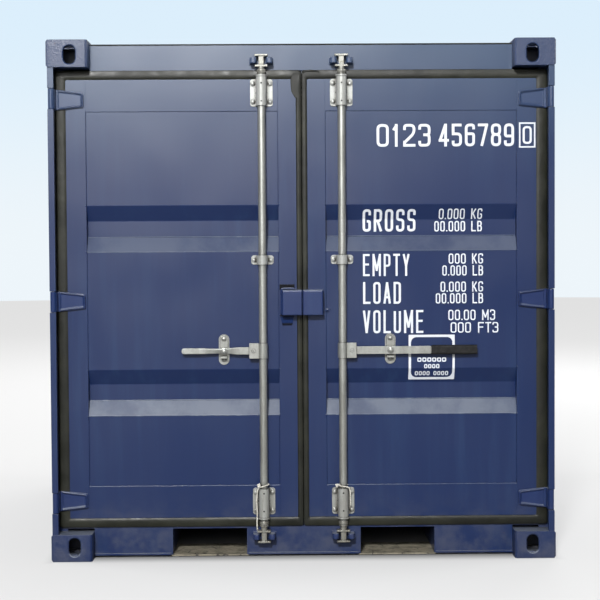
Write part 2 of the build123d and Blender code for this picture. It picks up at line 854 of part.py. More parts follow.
# Rod brackets: a plate on the leaf with a barrel round the rod
def rod_bracket(seat, level, plate_high, barrel_shift, barrel_high):
    barrel_level = level + barrel_shift
    with BuildPart() as bracket:
        with BuildSketch(Plane.XZ.offset(-seat)):
            with Locations((-rod_x, level)):
                RectangleRounded(bracket_plate_width, plate_high, bracket_plate_round)
        extrude(amount=bracket_plate)
        with BuildSketch(Plane.XY.offset(barrel_level - barrel_high / 2)):
            with Locations((-rod_x, rod_y)):
                Circle(bracket_barrel_radius)
            with Locations((-rod_x, (rod_y + seat - bracket_plate) / 2)):
                Rectangle(2 * bracket_barrel_radius, seat - bracket_plate - rod_y)
        extrude(amount=barrel_high)
        if barrel_shift:
            outwards = math.copysign(1, barrel_shift)
            with BuildSketch(Plane.XY.offset(barrel_level + outwards * barrel_high / 2)):
                with Locations((-rod_x, rod_y)):
                    Circle(bracket_flare_radius)
            extrude(amount=-outwards * bracket_flare_high)
        with BuildSketch(Plane.XY.offset(barrel_level - barrel_high)):
            with Locations((-rod_x, rod_y)):
                Circle(rod_radius + rod_gap)
        extrude(amount=2 * barrel_high, mode=Mode.SUBTRACT)
        if barrel_high > bracket_drain_spacing:
            with BuildSketch(Plane.XZ.offset(-rod_y)):
                with Locations(
                    (-rod_x, level - bracket_drain_spacing / 2),
                    (-rod_x, level + bracket_drain_spacing / 2),
                ):
                    Circle(bracket_drain_radius)
            extrude(amount=2 * bracket_barrel_radius, mode=Mode.SUBTRACT)
    return bracket


with BuildPart() as left_rod_brackets:
    low_level, high_level = end_bracket_levels
    add(
        rod_bracket(
            leaf_face,
            low_level,
            end_bracket_plate_high,
            -end_bracket_barrel_shift,
            end_bracket_barrel_high,
        ).part
    )
    add(
        rod_bracket(
            leaf_face,
            high_level,
            end_bracket_plate_high,
            end_bracket_barrel_shift,
            end_bracket_barrel_high,
        ).part
    )
    add(
        rod_bracket(
            panel_face,
            guide_bracket_level,
            guide_bracket_high,
            0,
            guide_bracket_high,
        ).part
    )
save("left_rod_brackets", left_rod_brackets)
save("right_rod_brackets", mirrored(left_rod_brackets))


# Lock rods, and the cams on their ends
with BuildPart() as left_lock_rod:
    with BuildSketch(Plane.XY.offset(rod_low)):
        with Locations((-rod_x, rod_y)):
            Circle(rod_radius)
            Circle(rod_radius - rod_wall, mode=Mode.SUBTRACT)
    extrude(amount=rod_high - rod_low)
save("left_lock_rod", left_lock_rod)
save("right_lock_rod", mirrored(left_lock_rod))


def cam(level, rod_end):
    toward = math.copysign(1, rod_end - level)
    with BuildPart() as claw:
        with BuildSketch(Plane.XY.offset(rod_end)):
            with Locations((-rod_x, rod_y)):
                Circle(cam_collar_radius)
        extrude(amount=-toward * cam_collar_high)
        with BuildSketch(Plane.XY.offset(rod_end)):
            with Locations((-rod_x, rod_y)):
                Circle(cam_neck_radius)
        extrude(amount=-toward * (abs(rod_end - level) - cam_high / 2))
        with BuildSketch(Plane.XY.offset(level - cam_high / 2)):
            with Locations((-rod_x, rod_y)):
                Rectangle(cam_column_x, cam_column_y)
        extrude(amount=cam_high)
        for start in (level - cam_high / 2, level + cam_high / 2 - cam_prong_sheet):
            with BuildSketch(Plane.XY.offset(start)):
                with Locations((-rod_x, rod_y)):
                    Circle(cam_prong_reach)
                with Locations((-rod_x, rod_y + (cam_prong_reach - cam_prong_front) / 2)):
                    Rectangle(2 * cam_prong_reach, cam_prong_reach + cam_prong_front, mode=Mode.INTERSECT)
            extrude(amount=cam_prong_sheet)
    return claw


with BuildPart() as left_rod_cams:
    add(cam(cam_levels[0], rod_low).part)
    add(cam(cam_levels[1], rod_high).part)
save("left_rod_cams", left_rod_cams)
save("right_rod_cams", mirrored(left_rod_cams))


# Handle hubs: a fork clamped to the rod, with a pin that the handle lifts on
with BuildPart() as left_handle_hub:
    pivot_x = -rod_x - handle_pin_reach
    cheek_gap = handle_thick + 2 * hub_gap
    with BuildSketch(Plane.XY.offset(handle_level - hub_high / 2)):
        with Locations((-rod_x - hub_reach / 2, rod_y)):
            Rectangle(hub_reach, cheek_gap + 2 * hub_wall)
        with Locations((-rod_x, rod_y)):
            Circle(rod_radius + hub_wall)
    extrude(amount=hub_high)
    fork_end = hub_reach - rod_radius - hub_wall
    with BuildSketch(Plane.XY.offset(handle_level - hub_high / 2)):
        with Locations((-rod_x - hub_reach + fork_end / 2, rod_y)):
            Rectangle(fork_end, cheek_gap)
    extrude(amount=hub_high - hub_wall, mode=Mode.SUBTRACT)
    with BuildSketch(Plane.XY.offset(handle_level - hub_high / 2)):
        with Locations((-rod_x, rod_y)):
            Circle(rod_radius)
    extrude(amount=hub_high, mode=Mode.SUBTRACT)
    with BuildSketch(Plane.XZ.offset(-(rod_y + cheek_gap / 2 + hub_wall))):
        with Locations((pivot_x, handle_level)):
            Circle(handle_pin_radius)
    extrude(amount=cheek_gap + 2 * hub_wall)
save("left_handle_hub", left_handle_hub)
save("right_handle_hub", mirrored(left_handle_hub))


# Handles: flat bars that step down to the grip
def handle(reach, step_reach):
    with BuildPart() as bar:
        with BuildSketch(Plane.XZ.offset(-(rod_y + handle_thick / 2))):
            with BuildLine():
                Polyline(
                    (pivot_x + handle_eye_back, handle_level - handle_high / 2),
                    (pivot_x + handle_eye_back, handle_level + handle_high / 2),
                    (-rod_x - step_reach, handle_level + handle_high / 2),
                    (-rod_x - step_reach - handle_step_run, handle_level + handle_tip_high / 2),
                    (-rod_x - reach, handle_level + handle_tip_high / 2),
                    (-rod_x - reach, handle_level - handle_tip_high / 2),
                    (-rod_x - step_reach - handle_step_run, handle_level - handle_tip_high / 2),
                    (-rod_x - step_reach, handle_level - handle_high / 2),
                    close=True,
                )
            make_face()
            with Locations((pivot_x, handle_level)):
                Circle(handle_pin_radius + handle_pin_running_gap, mode=Mode.SUBTRACT)
        extrude(amount=handle_thick)
        corners = bar.edges().filter_by(Axis.Y).filter_by(GeomType.LINE)
        fillet(corners.group_by(Axis.X)[-1], handle_eye_round)
        fillet(bar.edges().filter_by(Axis.Y).group_by(Axis.X)[0], handle_tip_round)
    return bar


left_handle = handle(left_handle_reach, left_handle_knee)
save("left_handle", left_handle)
right_bar = mirrored(handle(right_handle_reach, right_grip_start - handle_step_run))
save("right_handle", right_bar)

with BuildPart() as right_handle_grip:
    grip_run = right_handle_reach - right_grip_start
    with BuildSketch(Plane.YZ.offset(rod_x + right_grip_start)):
        with Locations((rod_y, handle_level)):
            RectangleRounded(grip_thick, grip_high, grip_round)
    extrude(amount=grip_run + grip_end_sheet)
    add(right_bar.part, mode=Mode.SUBTRACT)
save("right_handle_grip", right_handle_grip)


# Handle catches: a plate with a shelf under the handle, and a hasp that turns on a rivet
def handle_catch(reach):
    middle = -rod_x - reach
    pivot_level = catch_level + hasp_pivot_rise
    with BuildPart() as catch:
        with BuildSketch(Plane.XZ.offset(-panel_face)):
            with Locations((middle, catch_level)):
                SlotOverall(catch_high, catch_width, rotation=90)
        extrude(amount=catch_plate)
        with BuildSketch(Plane.XZ.offset(-(panel_face - catch_plate))):
            with Locations((middle, pivot_level)):
                Circle(hasp_pin_radius)
        extrude(amount=hasp_gap + hasp_sheet + hasp_gap)
        with BuildSketch(Plane.XZ.offset(-(panel_face - catch_plate - 2 * hasp_gap - hasp_sheet))):
            with Locations((middle, pivot_level)):
                Circle(hasp_head_radius)
        extrude(amount=hasp_head_sheet)
        with BuildSketch(Plane.XZ.offset(-(panel_face - catch_plate))):
            shelf_level = handle_level - catch_shelf_drop - catch_shelf_high / 2
            with Locations((middle, shelf_level)):
                Rectangle(catch_shelf_width, catch_shelf_high)
        extrude(amount=panel_face - catch_plate - front - catch_shelf_front_depth)
    return catch


def hasp(reach):
    middle = -rod_x - reach
    pivot_level = catch_level + hasp_pivot_rise
    with BuildPart() as flap:
        with BuildSketch(Plane.XZ.offset(-(panel_face - catch_plate - hasp_gap))):
            with Locations((middle, pivot_level - hasp_length / 2)):
                SlotOverall(hasp_length + 2 * hasp_half_width, 2 * hasp_half_width, rotation=90)
            with Locations((middle, pivot_level)):
                Circle(hasp_pin_radius + pin_running_gap, mode=Mode.SUBTRACT)
        extrude(amount=hasp_sheet)
    return flap


save("left_handle_catch", handle_catch(left_catch_reach))
save("right_handle_catch", mirrored(handle_catch(right_catch_reach)))
save("left_hasp", hasp(left_catch_reach))
save("right_hasp", mirrored(hasp(right_catch_reach)))


# Lock box: a hood over both doors, split where they meet and open underneath
with BuildPart() as left_lock_box:
    hood_run = leaf_face - front - box_front_depth
    hood_half = box_half_width - box_centre_gap / 2
    hood_middle = -(box_half_width + box_centre_gap / 2) / 2
    with BuildSketch(Plane.XZ.offset(-leaf_face)):
        with Locations((hood_middle, (box_low + box_high) / 2)):
            Rectangle(hood_half, box_high - box_low)
    extrude(amount=hood_run)
    outer_edges = left_lock_box.edges().filter_by(Axis.Z).group_by(Axis.X)[0].sort_by(Axis.Y)[:1]
    top_edges = left_lock_box.faces().sort_by(Axis.Z)[-1].edges().filter_by(Axis.X).sort_by(Axis.Y)[:1]
    fillet(outer_edges + top_edges, box_round)
    with BuildSketch(Plane.XZ.offset(-leaf_face)):
        with Locations((hood_middle + box_sheet / 2, (box_low + box_high) / 2 - box_sheet / 2)):
            Rectangle(hood_half - box_sheet, box_high - box_low - box_sheet)
    extrude(amount=hood_run - box_sheet, mode=Mode.SUBTRACT)
save("left_lock_box", left_lock_box)
save("right_lock_box", mirrored(left_lock_box))

with BuildPart() as lock_box_staple:
    staple_middle = -(staple_near + staple_far) / 2
    with BuildSketch(Plane.XZ.offset(-leaf_face)):
        with Locations((staple_middle, (box_high + staple_high) / 2)):
            Rectangle(staple_far - staple_near, staple_high - box_high)
        with Locations((staple_middle, (staple_low + box_low) / 2)):
            Trapezoid(staple_far - staple_near, box_low - staple_low, staple_tab_angle, rotation=180)
    extrude(amount=staple_sheet)
save("lock_box_staple", lock_box_staple)


# Ropes: routes are points from the rod's axis, with heights from the lower bracket's middle
def rope(route, axis_x):
    points = [(axis_x + x, rod_y + y, end_bracket_levels[0] + z) for x, y, z in route]
    runs = [math.dist(near, far) for near, far in zip(points, points[1:])]
    radii = []
    for number in range(1, len(points) - 1):
        before = Vector(*points[number]) - Vector(*points[number - 1])
        after = Vector(*points[number + 1]) - Vector(*points[number])
        half_turn = math.radians(before.get_angle(after)) / 2
        radii.append(rope_turn_share * min(runs[number - 1], runs[number]) / math.tan(half_turn))
    corner_turn = 2 * math.pi / rope_sides
    corner_radius = rope_radius * math.sqrt(corner_turn / math.sin(corner_turn))
    with BuildPart() as cord:
        with BuildLine() as path:
            FilletPolyline(*points, radius=radii)
        run = path.wire()
        with BuildSketch(Plane(origin=run @ 0, z_dir=run % 0)):
            RegularPolygon(corner_radius, rope_sides)
        sweep(path=run)
    print("rope: length", round(run.length, 1), "bend radii", [round(radius, 1) for radius in radii])
    return cord


save("left_door_rope", rope(left_rope_route, -rod_x))
save("right_door_rope", rope(right_rope_route, rod_x))
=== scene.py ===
import json
import math
import random

import bmesh
import bpy
from mathutils import Matrix, Vector

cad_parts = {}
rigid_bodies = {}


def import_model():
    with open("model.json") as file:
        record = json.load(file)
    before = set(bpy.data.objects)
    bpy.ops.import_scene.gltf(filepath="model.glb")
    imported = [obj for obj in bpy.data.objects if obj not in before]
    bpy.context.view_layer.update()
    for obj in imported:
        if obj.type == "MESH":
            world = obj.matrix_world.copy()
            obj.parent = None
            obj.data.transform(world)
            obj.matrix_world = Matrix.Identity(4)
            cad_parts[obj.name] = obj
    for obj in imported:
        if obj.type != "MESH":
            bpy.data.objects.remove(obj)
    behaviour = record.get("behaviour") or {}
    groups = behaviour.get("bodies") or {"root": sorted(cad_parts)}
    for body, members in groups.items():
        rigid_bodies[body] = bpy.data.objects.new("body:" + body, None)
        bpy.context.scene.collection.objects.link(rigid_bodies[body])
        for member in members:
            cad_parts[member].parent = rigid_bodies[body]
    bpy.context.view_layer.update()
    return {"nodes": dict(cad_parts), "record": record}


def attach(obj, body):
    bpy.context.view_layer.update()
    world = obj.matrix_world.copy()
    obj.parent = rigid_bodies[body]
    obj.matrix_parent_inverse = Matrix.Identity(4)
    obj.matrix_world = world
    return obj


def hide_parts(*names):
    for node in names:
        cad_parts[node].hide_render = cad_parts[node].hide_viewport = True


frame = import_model()
nodes = frame["nodes"]
scene = bpy.context.scene
up = Vector((0, 0, 1))
towardsDoors = Vector((0, -1, 0))  # out of the door end, at whoever opens it


# Camera, at the photograph's angle

shot = {
    "place": (-0.0900, -7.519, 1.3599),
    "turn": math.radians(-0.710),
    "tilt": math.radians(87.947),
    "roll": math.radians(-0.347),
    "lens": 87.37,
    "sensor": 36.0,
}


def placeCamera(facts):
    lens = bpy.data.cameras.new("door_end_camera")
    lens.lens = facts["lens"]
    lens.sensor_width = facts["sensor"]
    lens.clip_end = 200
    camera = bpy.data.objects.new("door_end_camera", lens)
    aim = Matrix.Rotation(facts["turn"], 4, "Z") @ Matrix.Rotation(facts["tilt"], 4, "X")
    camera.matrix_world = Matrix.Translation(facts["place"]) @ aim @ Matrix.Rotation(facts["roll"], 4, "Z")
    scene.collection.objects.link(camera)
    scene.camera = camera


placeCamera(shot)
print("camera placed")


# Mesh helpers

def frameAcross(direction):
    helper = up if abs(direction.dot(up)) < 0.9 else Vector((1, 0, 0))
    right = direction.cross(helper).normalized()
    return right, right.cross(direction).normalized()


def addLathe(bm, profile, centre, direction, sides=20):
    right, over = frameAcross(direction)
    rings = []
    for radius, height in profile:
        middle = centre + direction * height
        if radius == 0:
            rings.append([bm.verts.new(middle)])
            continue
        ring = []
        for step in range(sides):
            angle = 2 * math.pi * step / sides
            ring.append(bm.verts.new(middle + right * radius * math.cos(angle)
                                     + over * radius * math.sin(angle)))
        rings.append(ring)
    for lower, upper in zip(rings, rings[1:]):
        for step in range(sides):
            after = (step + 1) % sides
            if len(upper) == 1:
                bm.faces.new((lower[step], lower[after], upper[0]))
            elif len(lower) == 1:
                bm.faces.new((lower[0], upper[after], upper[step]))
            else:
                bm.faces.new((lower[step], lower[after], upper[after], upper[step]))


def addTube(bm, points, radius, sides=8, flat=1.0, taper=1.0):
    rings = []
    across = None
    for number, point in enumerate(points):
        before = points[max(number - 1, 0)]
        after = points[min(number + 1, len(points) - 1)]
        along = (after - before).normalized()
        if across is None:
            across = frameAcross(along)[0]
        across = (across - along * across.dot(along)).normalized()
        over = along.cross(across)
        share = number / (len(points) - 1)
        size = radius * (1 + (taper - 1) * share)
        ring = []
        for step in range(sides):
            angle = 2 * math.pi * step / sides
            ring.append(bm.verts.new(point + across * size * math.cos(angle)
                                     + over * size * flat * math.sin(angle)))
        rings.append(ring)
    for lower, upper in zip(rings, rings[1:]):
        for step in range(sides):
            after = (step + 1) % sides
            bm.faces.new((lower[step], lower[after], upper[after], upper[step]))
    bm.faces.new(list(reversed(rings[0])))
    bm.faces.new(rings[-1])


def roundedPath(points, radius, steps=4):
    closed = points[0] == points[-1]
    corners = points[:-1] if closed else points
    path = []
    for number, corner in enumerate(corners):
        if not closed and number in (0, len(corners) - 1):
            path.append(corner)
            continue
        before = corners[number - 1]
        after = corners[(number + 1) % len(corners)]
        # an arc never takes more than half of a side
        reach = min(radius, (before - corner).length * 0.48, (after - corner).length * 0.48)
        start = corner + (before - corner).normalized() * reach
        end = corner + (after - corner).normalized() * reach
        for step in range(steps + 1):
            share = step / steps
            path.append(start.lerp(corner, share).lerp(corner.lerp(end, share), share))
    if closed:
        path.append(path[0])
    return path


def finishPiece(name, bm, body, material, smooth=True):
    bmesh.ops.recalc_face_normals(bm, faces=bm.faces)
    mesh = bpy.data.meshes.new(name)
    bm.to_mesh(mesh)
    bm.free()
    piece = bpy.data.objects.new(name, mesh)
    scene.collection.objects.link(piece)
    mesh.materials.append(material)
    for face in mesh.polygons:
        face.use_smooth = smooth
    if smooth:
        mesh.set_sharp_from_angle(angle=math.radians(40))
    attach(piece, body)
    return piece


# Node helpers

def startMaterial(name, metallic=0.0):
    material = bpy.data.materials.new(name)
    material.use_nodes = True
    tree = material.node_tree
    shader = tree.nodes["Principled BSDF"]
    shader.inputs["Metallic"].default_value = metallic
    place = tree.nodes.new("ShaderNodeTexCoord").outputs["Object"]
    return material, tree, shader, place


def wire(tree, source, socket):
    tree.links.new(source, socket)


def stretched(tree, place, scale):
    node = tree.nodes.new("ShaderNodeMapping")
    node.inputs["Scale"].default_value = scale
    wire(tree, place, node.inputs["Vector"])
    return node.outputs["Vector"]


def noise(tree, place, scale, detail=3.0, rough=0.55, warp=0.0):
    node = tree.nodes.new("ShaderNodeTexNoise")
    node.inputs["Scale"].default_value = scale
    node.inputs["Detail"].default_value = detail
    node.inputs["Roughness"].default_value = rough
    node.inputs["Distortion"].default_value = warp
    wire(tree, place, node.inputs["Vector"])
    return node.outputs["Fac"]


def ranged(tree, value, low, high, toLow=0.0, toHigh=1.0):
    node = tree.nodes.new("ShaderNodeMapRange")
    node.interpolation_type = "SMOOTHSTEP"
    for key, number in (("From Min", low), ("From Max", high), ("To Min", toLow), ("To Max", toHigh)):
        node.inputs[key].default_value = number
    wire(tree, value, node.inputs["Value"])
    return node.outputs["Result"]


def combined(tree, operation, first, second):
    node = tree.nodes.new("ShaderNodeMath")
    node.operation = operation
    for socket, value in zip(node.inputs, (first, second)):
        if isinstance(value, (int, float)):
            socket.default_value = value
        else:
            wire(tree, value, socket)
    return node.outputs["Value"]


def times(tree, first, second):
    return combined(tree, "MULTIPLY", first, second)


def patchy(tree, place, pattern, least=0.0, most=1.0):
    *grain, begins, full = pattern
    return ranged(tree, noise(tree, place, *grain), begins, full, least, most)


def mixed(tree, share, under, over):
    node = tree.nodes.new("ShaderNodeMix")
    node.data_type = "RGBA"
    wire(tree, share, node.inputs["Factor"])
    for socket, value in ((node.inputs[6], under), (node.inputs[7], over)):  # its two colours
        if isinstance(value, tuple):
            socket.default_value = (*value, 1)
        else:
            wire(tree, value, socket)
    return node.outputs[2]


def bumped(tree, shader, layers, edge=0.0):
    last = None
    if edge:
        rounding = tree.nodes.new("ShaderNodeBevel")
        rounding.samples = 4
        rounding.inputs["Radius"].default_value = edge
        last = rounding.outputs["Normal"]
    for height, depth in layers:
        node = tree.nodes.new("ShaderNodeBump")
        node.inputs["Strength"].default_value = 1.0
        node.inputs["Distance"].default_value = depth
        wire(tree, height, node.inputs["Height"])
        if last is not None:
            wire(tree, last, node.inputs["Normal"])
        last = node.outputs["Normal"]
    wire(tree, last, shader.inputs["Normal"])


def heightAbove(tree, place):
    node = tree.nodes.new("ShaderNodeSeparateXYZ")
    wire(tree, place, node.inputs["Vector"])
    return node.outputs["Z"]


def lengthBack(tree, place):
    node = tree.nodes.new("ShaderNodeSeparateXYZ")
    wire(tree, place, node.inputs["Vector"])
    return node.outputs["Y"]


def openness(tree, reach, samples):
    node = tree.nodes.new("ShaderNodeAmbientOcclusion")
    node.samples = samples
    node.inputs["Distance"].default_value = reach
    return node.outputs["AO"]


def facingUp(tree):
    facing = tree.nodes.new("ShaderNodeNewGeometry")
    node = tree.nodes.new("ShaderNodeSeparateXYZ")
    wire(tree, facing.outputs["Normal"], node.inputs["Vector"])
    return node.outputs["Z"]


# Finishes. A pattern is scale, detail, roughness, and the values where it begins and is full.

navyLook = {
    "paint": (0.0045, 0.0165, 0.0720),
    "faded": (0.0090, 0.0265, 0.0880),
    "fadedClouds": (1.3, 1.0, 0.3, 0.30, 0.75),
    "streaks": (20.0, 4.0, 0.6, 0.42, 0.72),
    "streakDraw": (1.0, 1.0, 0.07),  # a small last number draws marks out downwards
    # chalky fading and a painted sky sheen: the paint is lighter towards the top of the doors
    "chalkAndSheen": (0.046, 0.080, 0.136),
    "chalkAndSheenHeights": (1.60, 2.45),
    "chalkAndSheenFull": 0.9,
    "chalkAndSheenClouds": (1.4, 1.0, 0.3, 0.25, 0.75),
    "chalkAndSheenLeast": 0.72,
    "behindDoors": (-1.06, -0.80),  # y where scuffs and rust begin and are full
    "scuff": (0.110, 0.125, 0.160),
    "scuffMarks": (7.0, 5.0, 0.7, 0.58, 0.70),
    "scuffDraw": (0.35, 0.35, 4.0),
    "scuffFull": 0.55,
    "rust": (0.110, 0.036, 0.014),
    "rustMarks": (17.0, 5.0, 0.68, 0.63, 0.72),
    "rustDraw": (1.0, 1.0, 0.16),
    "rustFull": 0.75,
    "dust": (0.150, 0.150, 0.145),
    "splashTop": 0.34,
    "splashFull": 0.22,
    "splashes": (9.0, 5.0, 0.7, 0.35, 0.7),
    "lyingFull": 0.40,  # dust on what faces up
    "lyingSlopes": (0.80, 1.0),
    "lyingPatches": (6.0, 5.0, 0.65, 0.30, 0.65),
    "lyingLeast": 0.35,
    "dustDulls": 0.6,
    # dust, and a painted highlight on the groove slopes that face up to the light
    "ledgeDustAndSheen": (0.235, 0.262, 0.300),  # on the slopes of the door grooves
    "ledgeSlopes": (0.25, 0.48),
    "ledgeHeights": (0.60, 2.30),
    "ledgeFull": 0.52,
    "ledgePatches": (5.0, 5.0, 0.65, 0.30, 0.60),
    "ledgeLeast": 0.55,
    "chip": (0.060, 0.038, 0.028),
    "chips": (46.0, 4.0, 0.6, 0.755, 0.767),
    "glossPatches": (3.0, 1.5, 0.4, 0.25, 0.75),
    "roughness": (0.285, 0.355),
    "waves": (3.0, 1.0, 0.4),
    "waveDraw": (1.0, 1.0, 0.8),
    "waveDeep": 0.0050,
    "peel": (420.0, 2.0),
    "peelDeep": 0.00012,
    "edge": 0.0022,
    "grain": (120.0, 4.0, 0.6),
    "grainDeep": 0.0,
    # painted shade: near-black laid into the castings' hollows where ambient occlusion finds them, with their
    # grime
    "hollowReach": 0.16,
    "hollowOpen": (0.05, 0.34),
    "hollowShadeAndGrime": (0.0040, 0.0038, 0.0036),
}
castLook = {
    **navyLook,
    "chalkAndSheen": (0.016, 0.034, 0.088),
    "lyingFull": 0.10,
    "chips": (46.0, 4.0, 0.6, 0.70, 0.712),
    "roughness": (0.34, 0.46),
    "edge": 0.0050,
    "grainDeep": 0.0011,
}
boxLook = {
    **navyLook,
    "paint": (0.0070, 0.0200, 0.0860),
    "faded": (0.0110, 0.0280, 0.1000),
    "lyingFull": 0.15,
    "roughness": (0.285, 0.345),
    "edge": 0.0065,
}
# lighter navy on the groove bends: a painted highlight where the bends catch the light
bendHighlightLook = {
    **navyLook,
    "paint": (0.0400, 0.0600, 0.1150),
    "faded": (0.1300, 0.1550, 0.2000),
}


def navyPaint(name, look):
    material, tree, shader, place = startMaterial(name)
    height = heightAbove(tree, place)
    faded = times(tree, patchy(tree, stretched(tree, place, look["streakDraw"]), look["streaks"]),
                  patchy(tree, place, look["fadedClouds"]))
    colour = mixed(tree, faded, look["paint"], look["faded"])
    # chalking and painted sky sheen, rising with height
    chalkAndSheenShare = times(tree, ranged(tree, height, *look["chalkAndSheenHeights"], 0.0, look["chalkAndSheenFull"]),
                   patchy(tree, place, look["chalkAndSheenClouds"], look["chalkAndSheenLeast"]))
    colour = mixed(tree, chalkAndSheenShare, colour, look["chalkAndSheen"])
    behind = ranged(tree, lengthBack(tree, place), *look["behindDoors"])
    for wear in ("scuff", "rust"):
        marks = patchy(tree, stretched(tree, place, look[wear + "Draw"]), look[wear + "Marks"])
        marks = times(tree, marks, times(tree, behind, look[wear + "Full"]))
        colour = mixed(tree, marks, colour, look[wear])
    splash = times(tree, ranged(tree, height, 0.0, look["splashTop"], look["splashFull"], 0.0),
                   patchy(tree, place, look["splashes"]))
    lying = times(tree, ranged(tree, facingUp(tree), *look["lyingSlopes"], 0.0, look["lyingFull"]),
                  patchy(tree, place, look["lyingPatches"], look["lyingLeast"]))
    dusty = combined(tree, "MAXIMUM", splash, lying)
    colour = mixed(tree, dusty, colour, look["dust"])
    # up-facing groove slopes get dust and a painted highlight, stronger lower down
    ledge = times(tree, ranged(tree, facingUp(tree), *look["ledgeSlopes"]),
                  ranged(tree, height, *look["ledgeHeights"], look["ledgeFull"], 0.0))
    ledge = times(tree, ledge, patchy(tree, place, look["ledgePatches"], look["ledgeLeast"]))
    colour = mixed(tree, ledge, colour, look["ledgeDustAndSheen"])
    colour = mixed(tree, patchy(tree, place, look["chips"]), colour, look["chip"])
    gloss = patchy(tree, place, look["glossPatches"], *look["roughness"])
    gloss = combined(tree, "ADD", gloss, times(tree, dusty, look["dustDulls"]))
    wire(tree, gloss, shader.inputs["Roughness"])
    layers = [(noise(tree, stretched(tree, place, look["waveDraw"]), *look["waves"]), look["waveDeep"]),
              (noise(tree, place, *look["peel"]), look["peelDeep"])]
    if look["grainDeep"]:
        layers.append((noise(tree, place, *look["grain"]), look["grainDeep"]))
        # painted shade and grime darken the hollows that ambient occlusion finds
        hollow = openness(tree, look["hollowReach"], 4)
        grimeAndShadeShare = ranged(tree, hollow, *look["hollowOpen"], 1.0, 0.0)
        colour = mixed(tree, grimeAndShadeShare, colour, look["hollowShadeAndGrime"])
    wire(tree, colour, shader.inputs["Base Color"])
    bumped(tree, shader, layers, look["edge"])
    return material


stapleLook = {
    "black": (0.0040, 0.0042, 0.0050),
    "blackHeights": (1.050, 1.066),
    "blackFull": 0.97,
    # painted shadow along the foot of the tab
    "footShadowHeights": (1.028, 1.034),
    "footShadowFull": 0.9,
    "specular": 0.12,
}


def staplePaint(name, look):
    material = navyPaint(name, navyLook)
    tree = material.node_tree
    shader = tree.nodes["Principled BSDF"]
    colour = shader.inputs["Base Color"].links[0].from_socket
    height = heightAbove(tree, tree.nodes.new("ShaderNodeTexCoord").outputs["Object"])
    # the staple is painted near-black from 1.050 m up, and a painted shadow band darkens the foot of its tab
    black = combined(tree, "MAXIMUM", ranged(tree, height, *look["blackHeights"], 0.0, look["blackFull"]),
                     ranged(tree, height, *look["footShadowHeights"], look["footShadowFull"], 0.0))
    wire(tree, mixed(tree, black, colour, look["black"]), shader.inputs["Base Color"])
    shader.inputs["Specular IOR Level"].default_value = look["specular"]
    return material


zincLook = {
    "bright": (0.470, 0.482, 0.455),
    "dull": (0.275, 0.280, 0.258),
    "spangle": 210.0,
    "spangleFull": 0.22,
    "clouds": (16.0, 5.0, 0.65, 0.42, 0.72),
    "cloudDraw": (1.0, 1.0, 0.3),
    "cloudFull": 0.65,
    "stain": (0.120, 0.100, 0.070),
    "grimeHigh": 1.5,
    "grimeFull": (0.45, 0.10),  # at the ground, and above
    "grimeRuns": (40.0, 5.0, 0.7, 0.30, 0.62),
    "grimeDraw": (1.0, 1.0, 0.12),
    "stains": (34.0, 6.0, 0.7, 0.60, 0.75),
    "stainFull": 0.75,
    # dark dirt and painted shade in crevices, such as the line between barrel and plate
    "creviceDirtAndShade": (0.035, 0.031, 0.025),
    "creviceReach": 0.018,
    "creviceOpen": (0.50, 0.94),
    "creviceFull": 0.94,
    "metallic": 0.72,
    "roughness": (0.30, 0.42),
    "dents": (260.0, 3.0, 0.6),
    "dentDeep": 0.00022,
    "edge": 0.0015,
}
camLook = {
    **zincLook,
    "bright": (0.330, 0.332, 0.300),
    "dull": (0.150, 0.148, 0.128),
    "stains": (34.0, 6.0, 0.7, 0.50, 0.65),
    "creviceReach": 0.026,
    "metallic": 0.40,
    "edge": 0.0035,
}
plateLook = {
    **zincLook,
    "bright": (0.430, 0.442, 0.425),
    "stains": (34.0, 6.0, 0.7, 0.62, 0.77),
    "metallic": 0.30,
}


def zincCoat(name, look):
    material, tree, shader, place = startMaterial(name, look["metallic"])
    flakes = tree.nodes.new("ShaderNodeTexVoronoi")
    flakes.inputs["Scale"].default_value = look["spangle"]
    wire(tree, place, flakes.inputs["Vector"])
    shade = tree.nodes.new("ShaderNodeSeparateColor")
    wire(tree, flakes.outputs["Color"], shade.inputs["Color"])
    spangled = ranged(tree, shade.outputs["Red"], 0.0, 1.0, 0.0, look["spangleFull"])
    colour = mixed(tree, spangled, look["bright"], look["dull"])
    cloudy = patchy(tree, stretched(tree, place, look["cloudDraw"]), look["clouds"])
    colour = mixed(tree, times(tree, cloudy, look["cloudFull"]), colour, look["dull"])
    grimeAndShadeShare = times(tree, ranged(tree, heightAbove(tree, place), 0.0, look["grimeHigh"], *look["grimeFull"]),
                  patchy(tree, stretched(tree, place, look["grimeDraw"]), look["grimeRuns"]))
    stained = patchy(tree, place, look["stains"], 0.0, look["stainFull"])
    colour = mixed(tree, combined(tree, "MAXIMUM", grimeAndShadeShare, stained), colour, look["stain"])
    # crevices found by ambient occlusion get dirt and painted shade
    hollow = openness(tree, look["creviceReach"], 5)
    creviceDirtAndShadeShare = ranged(tree, hollow, *look["creviceOpen"], look["creviceFull"], 0.0)
    wire(tree, mixed(tree, creviceDirtAndShadeShare, colour, look["creviceDirtAndShade"]), shader.inputs["Base Color"])
    wire(tree, ranged(tree, shade.outputs["Green"], 0.0, 1.0, *look["roughness"]), shader.inputs["Roughness"])
    bumped(tree, shader, [(noise(tree, place, *look["dents"]), look["dentDeep"])], look["edge"])
    return material


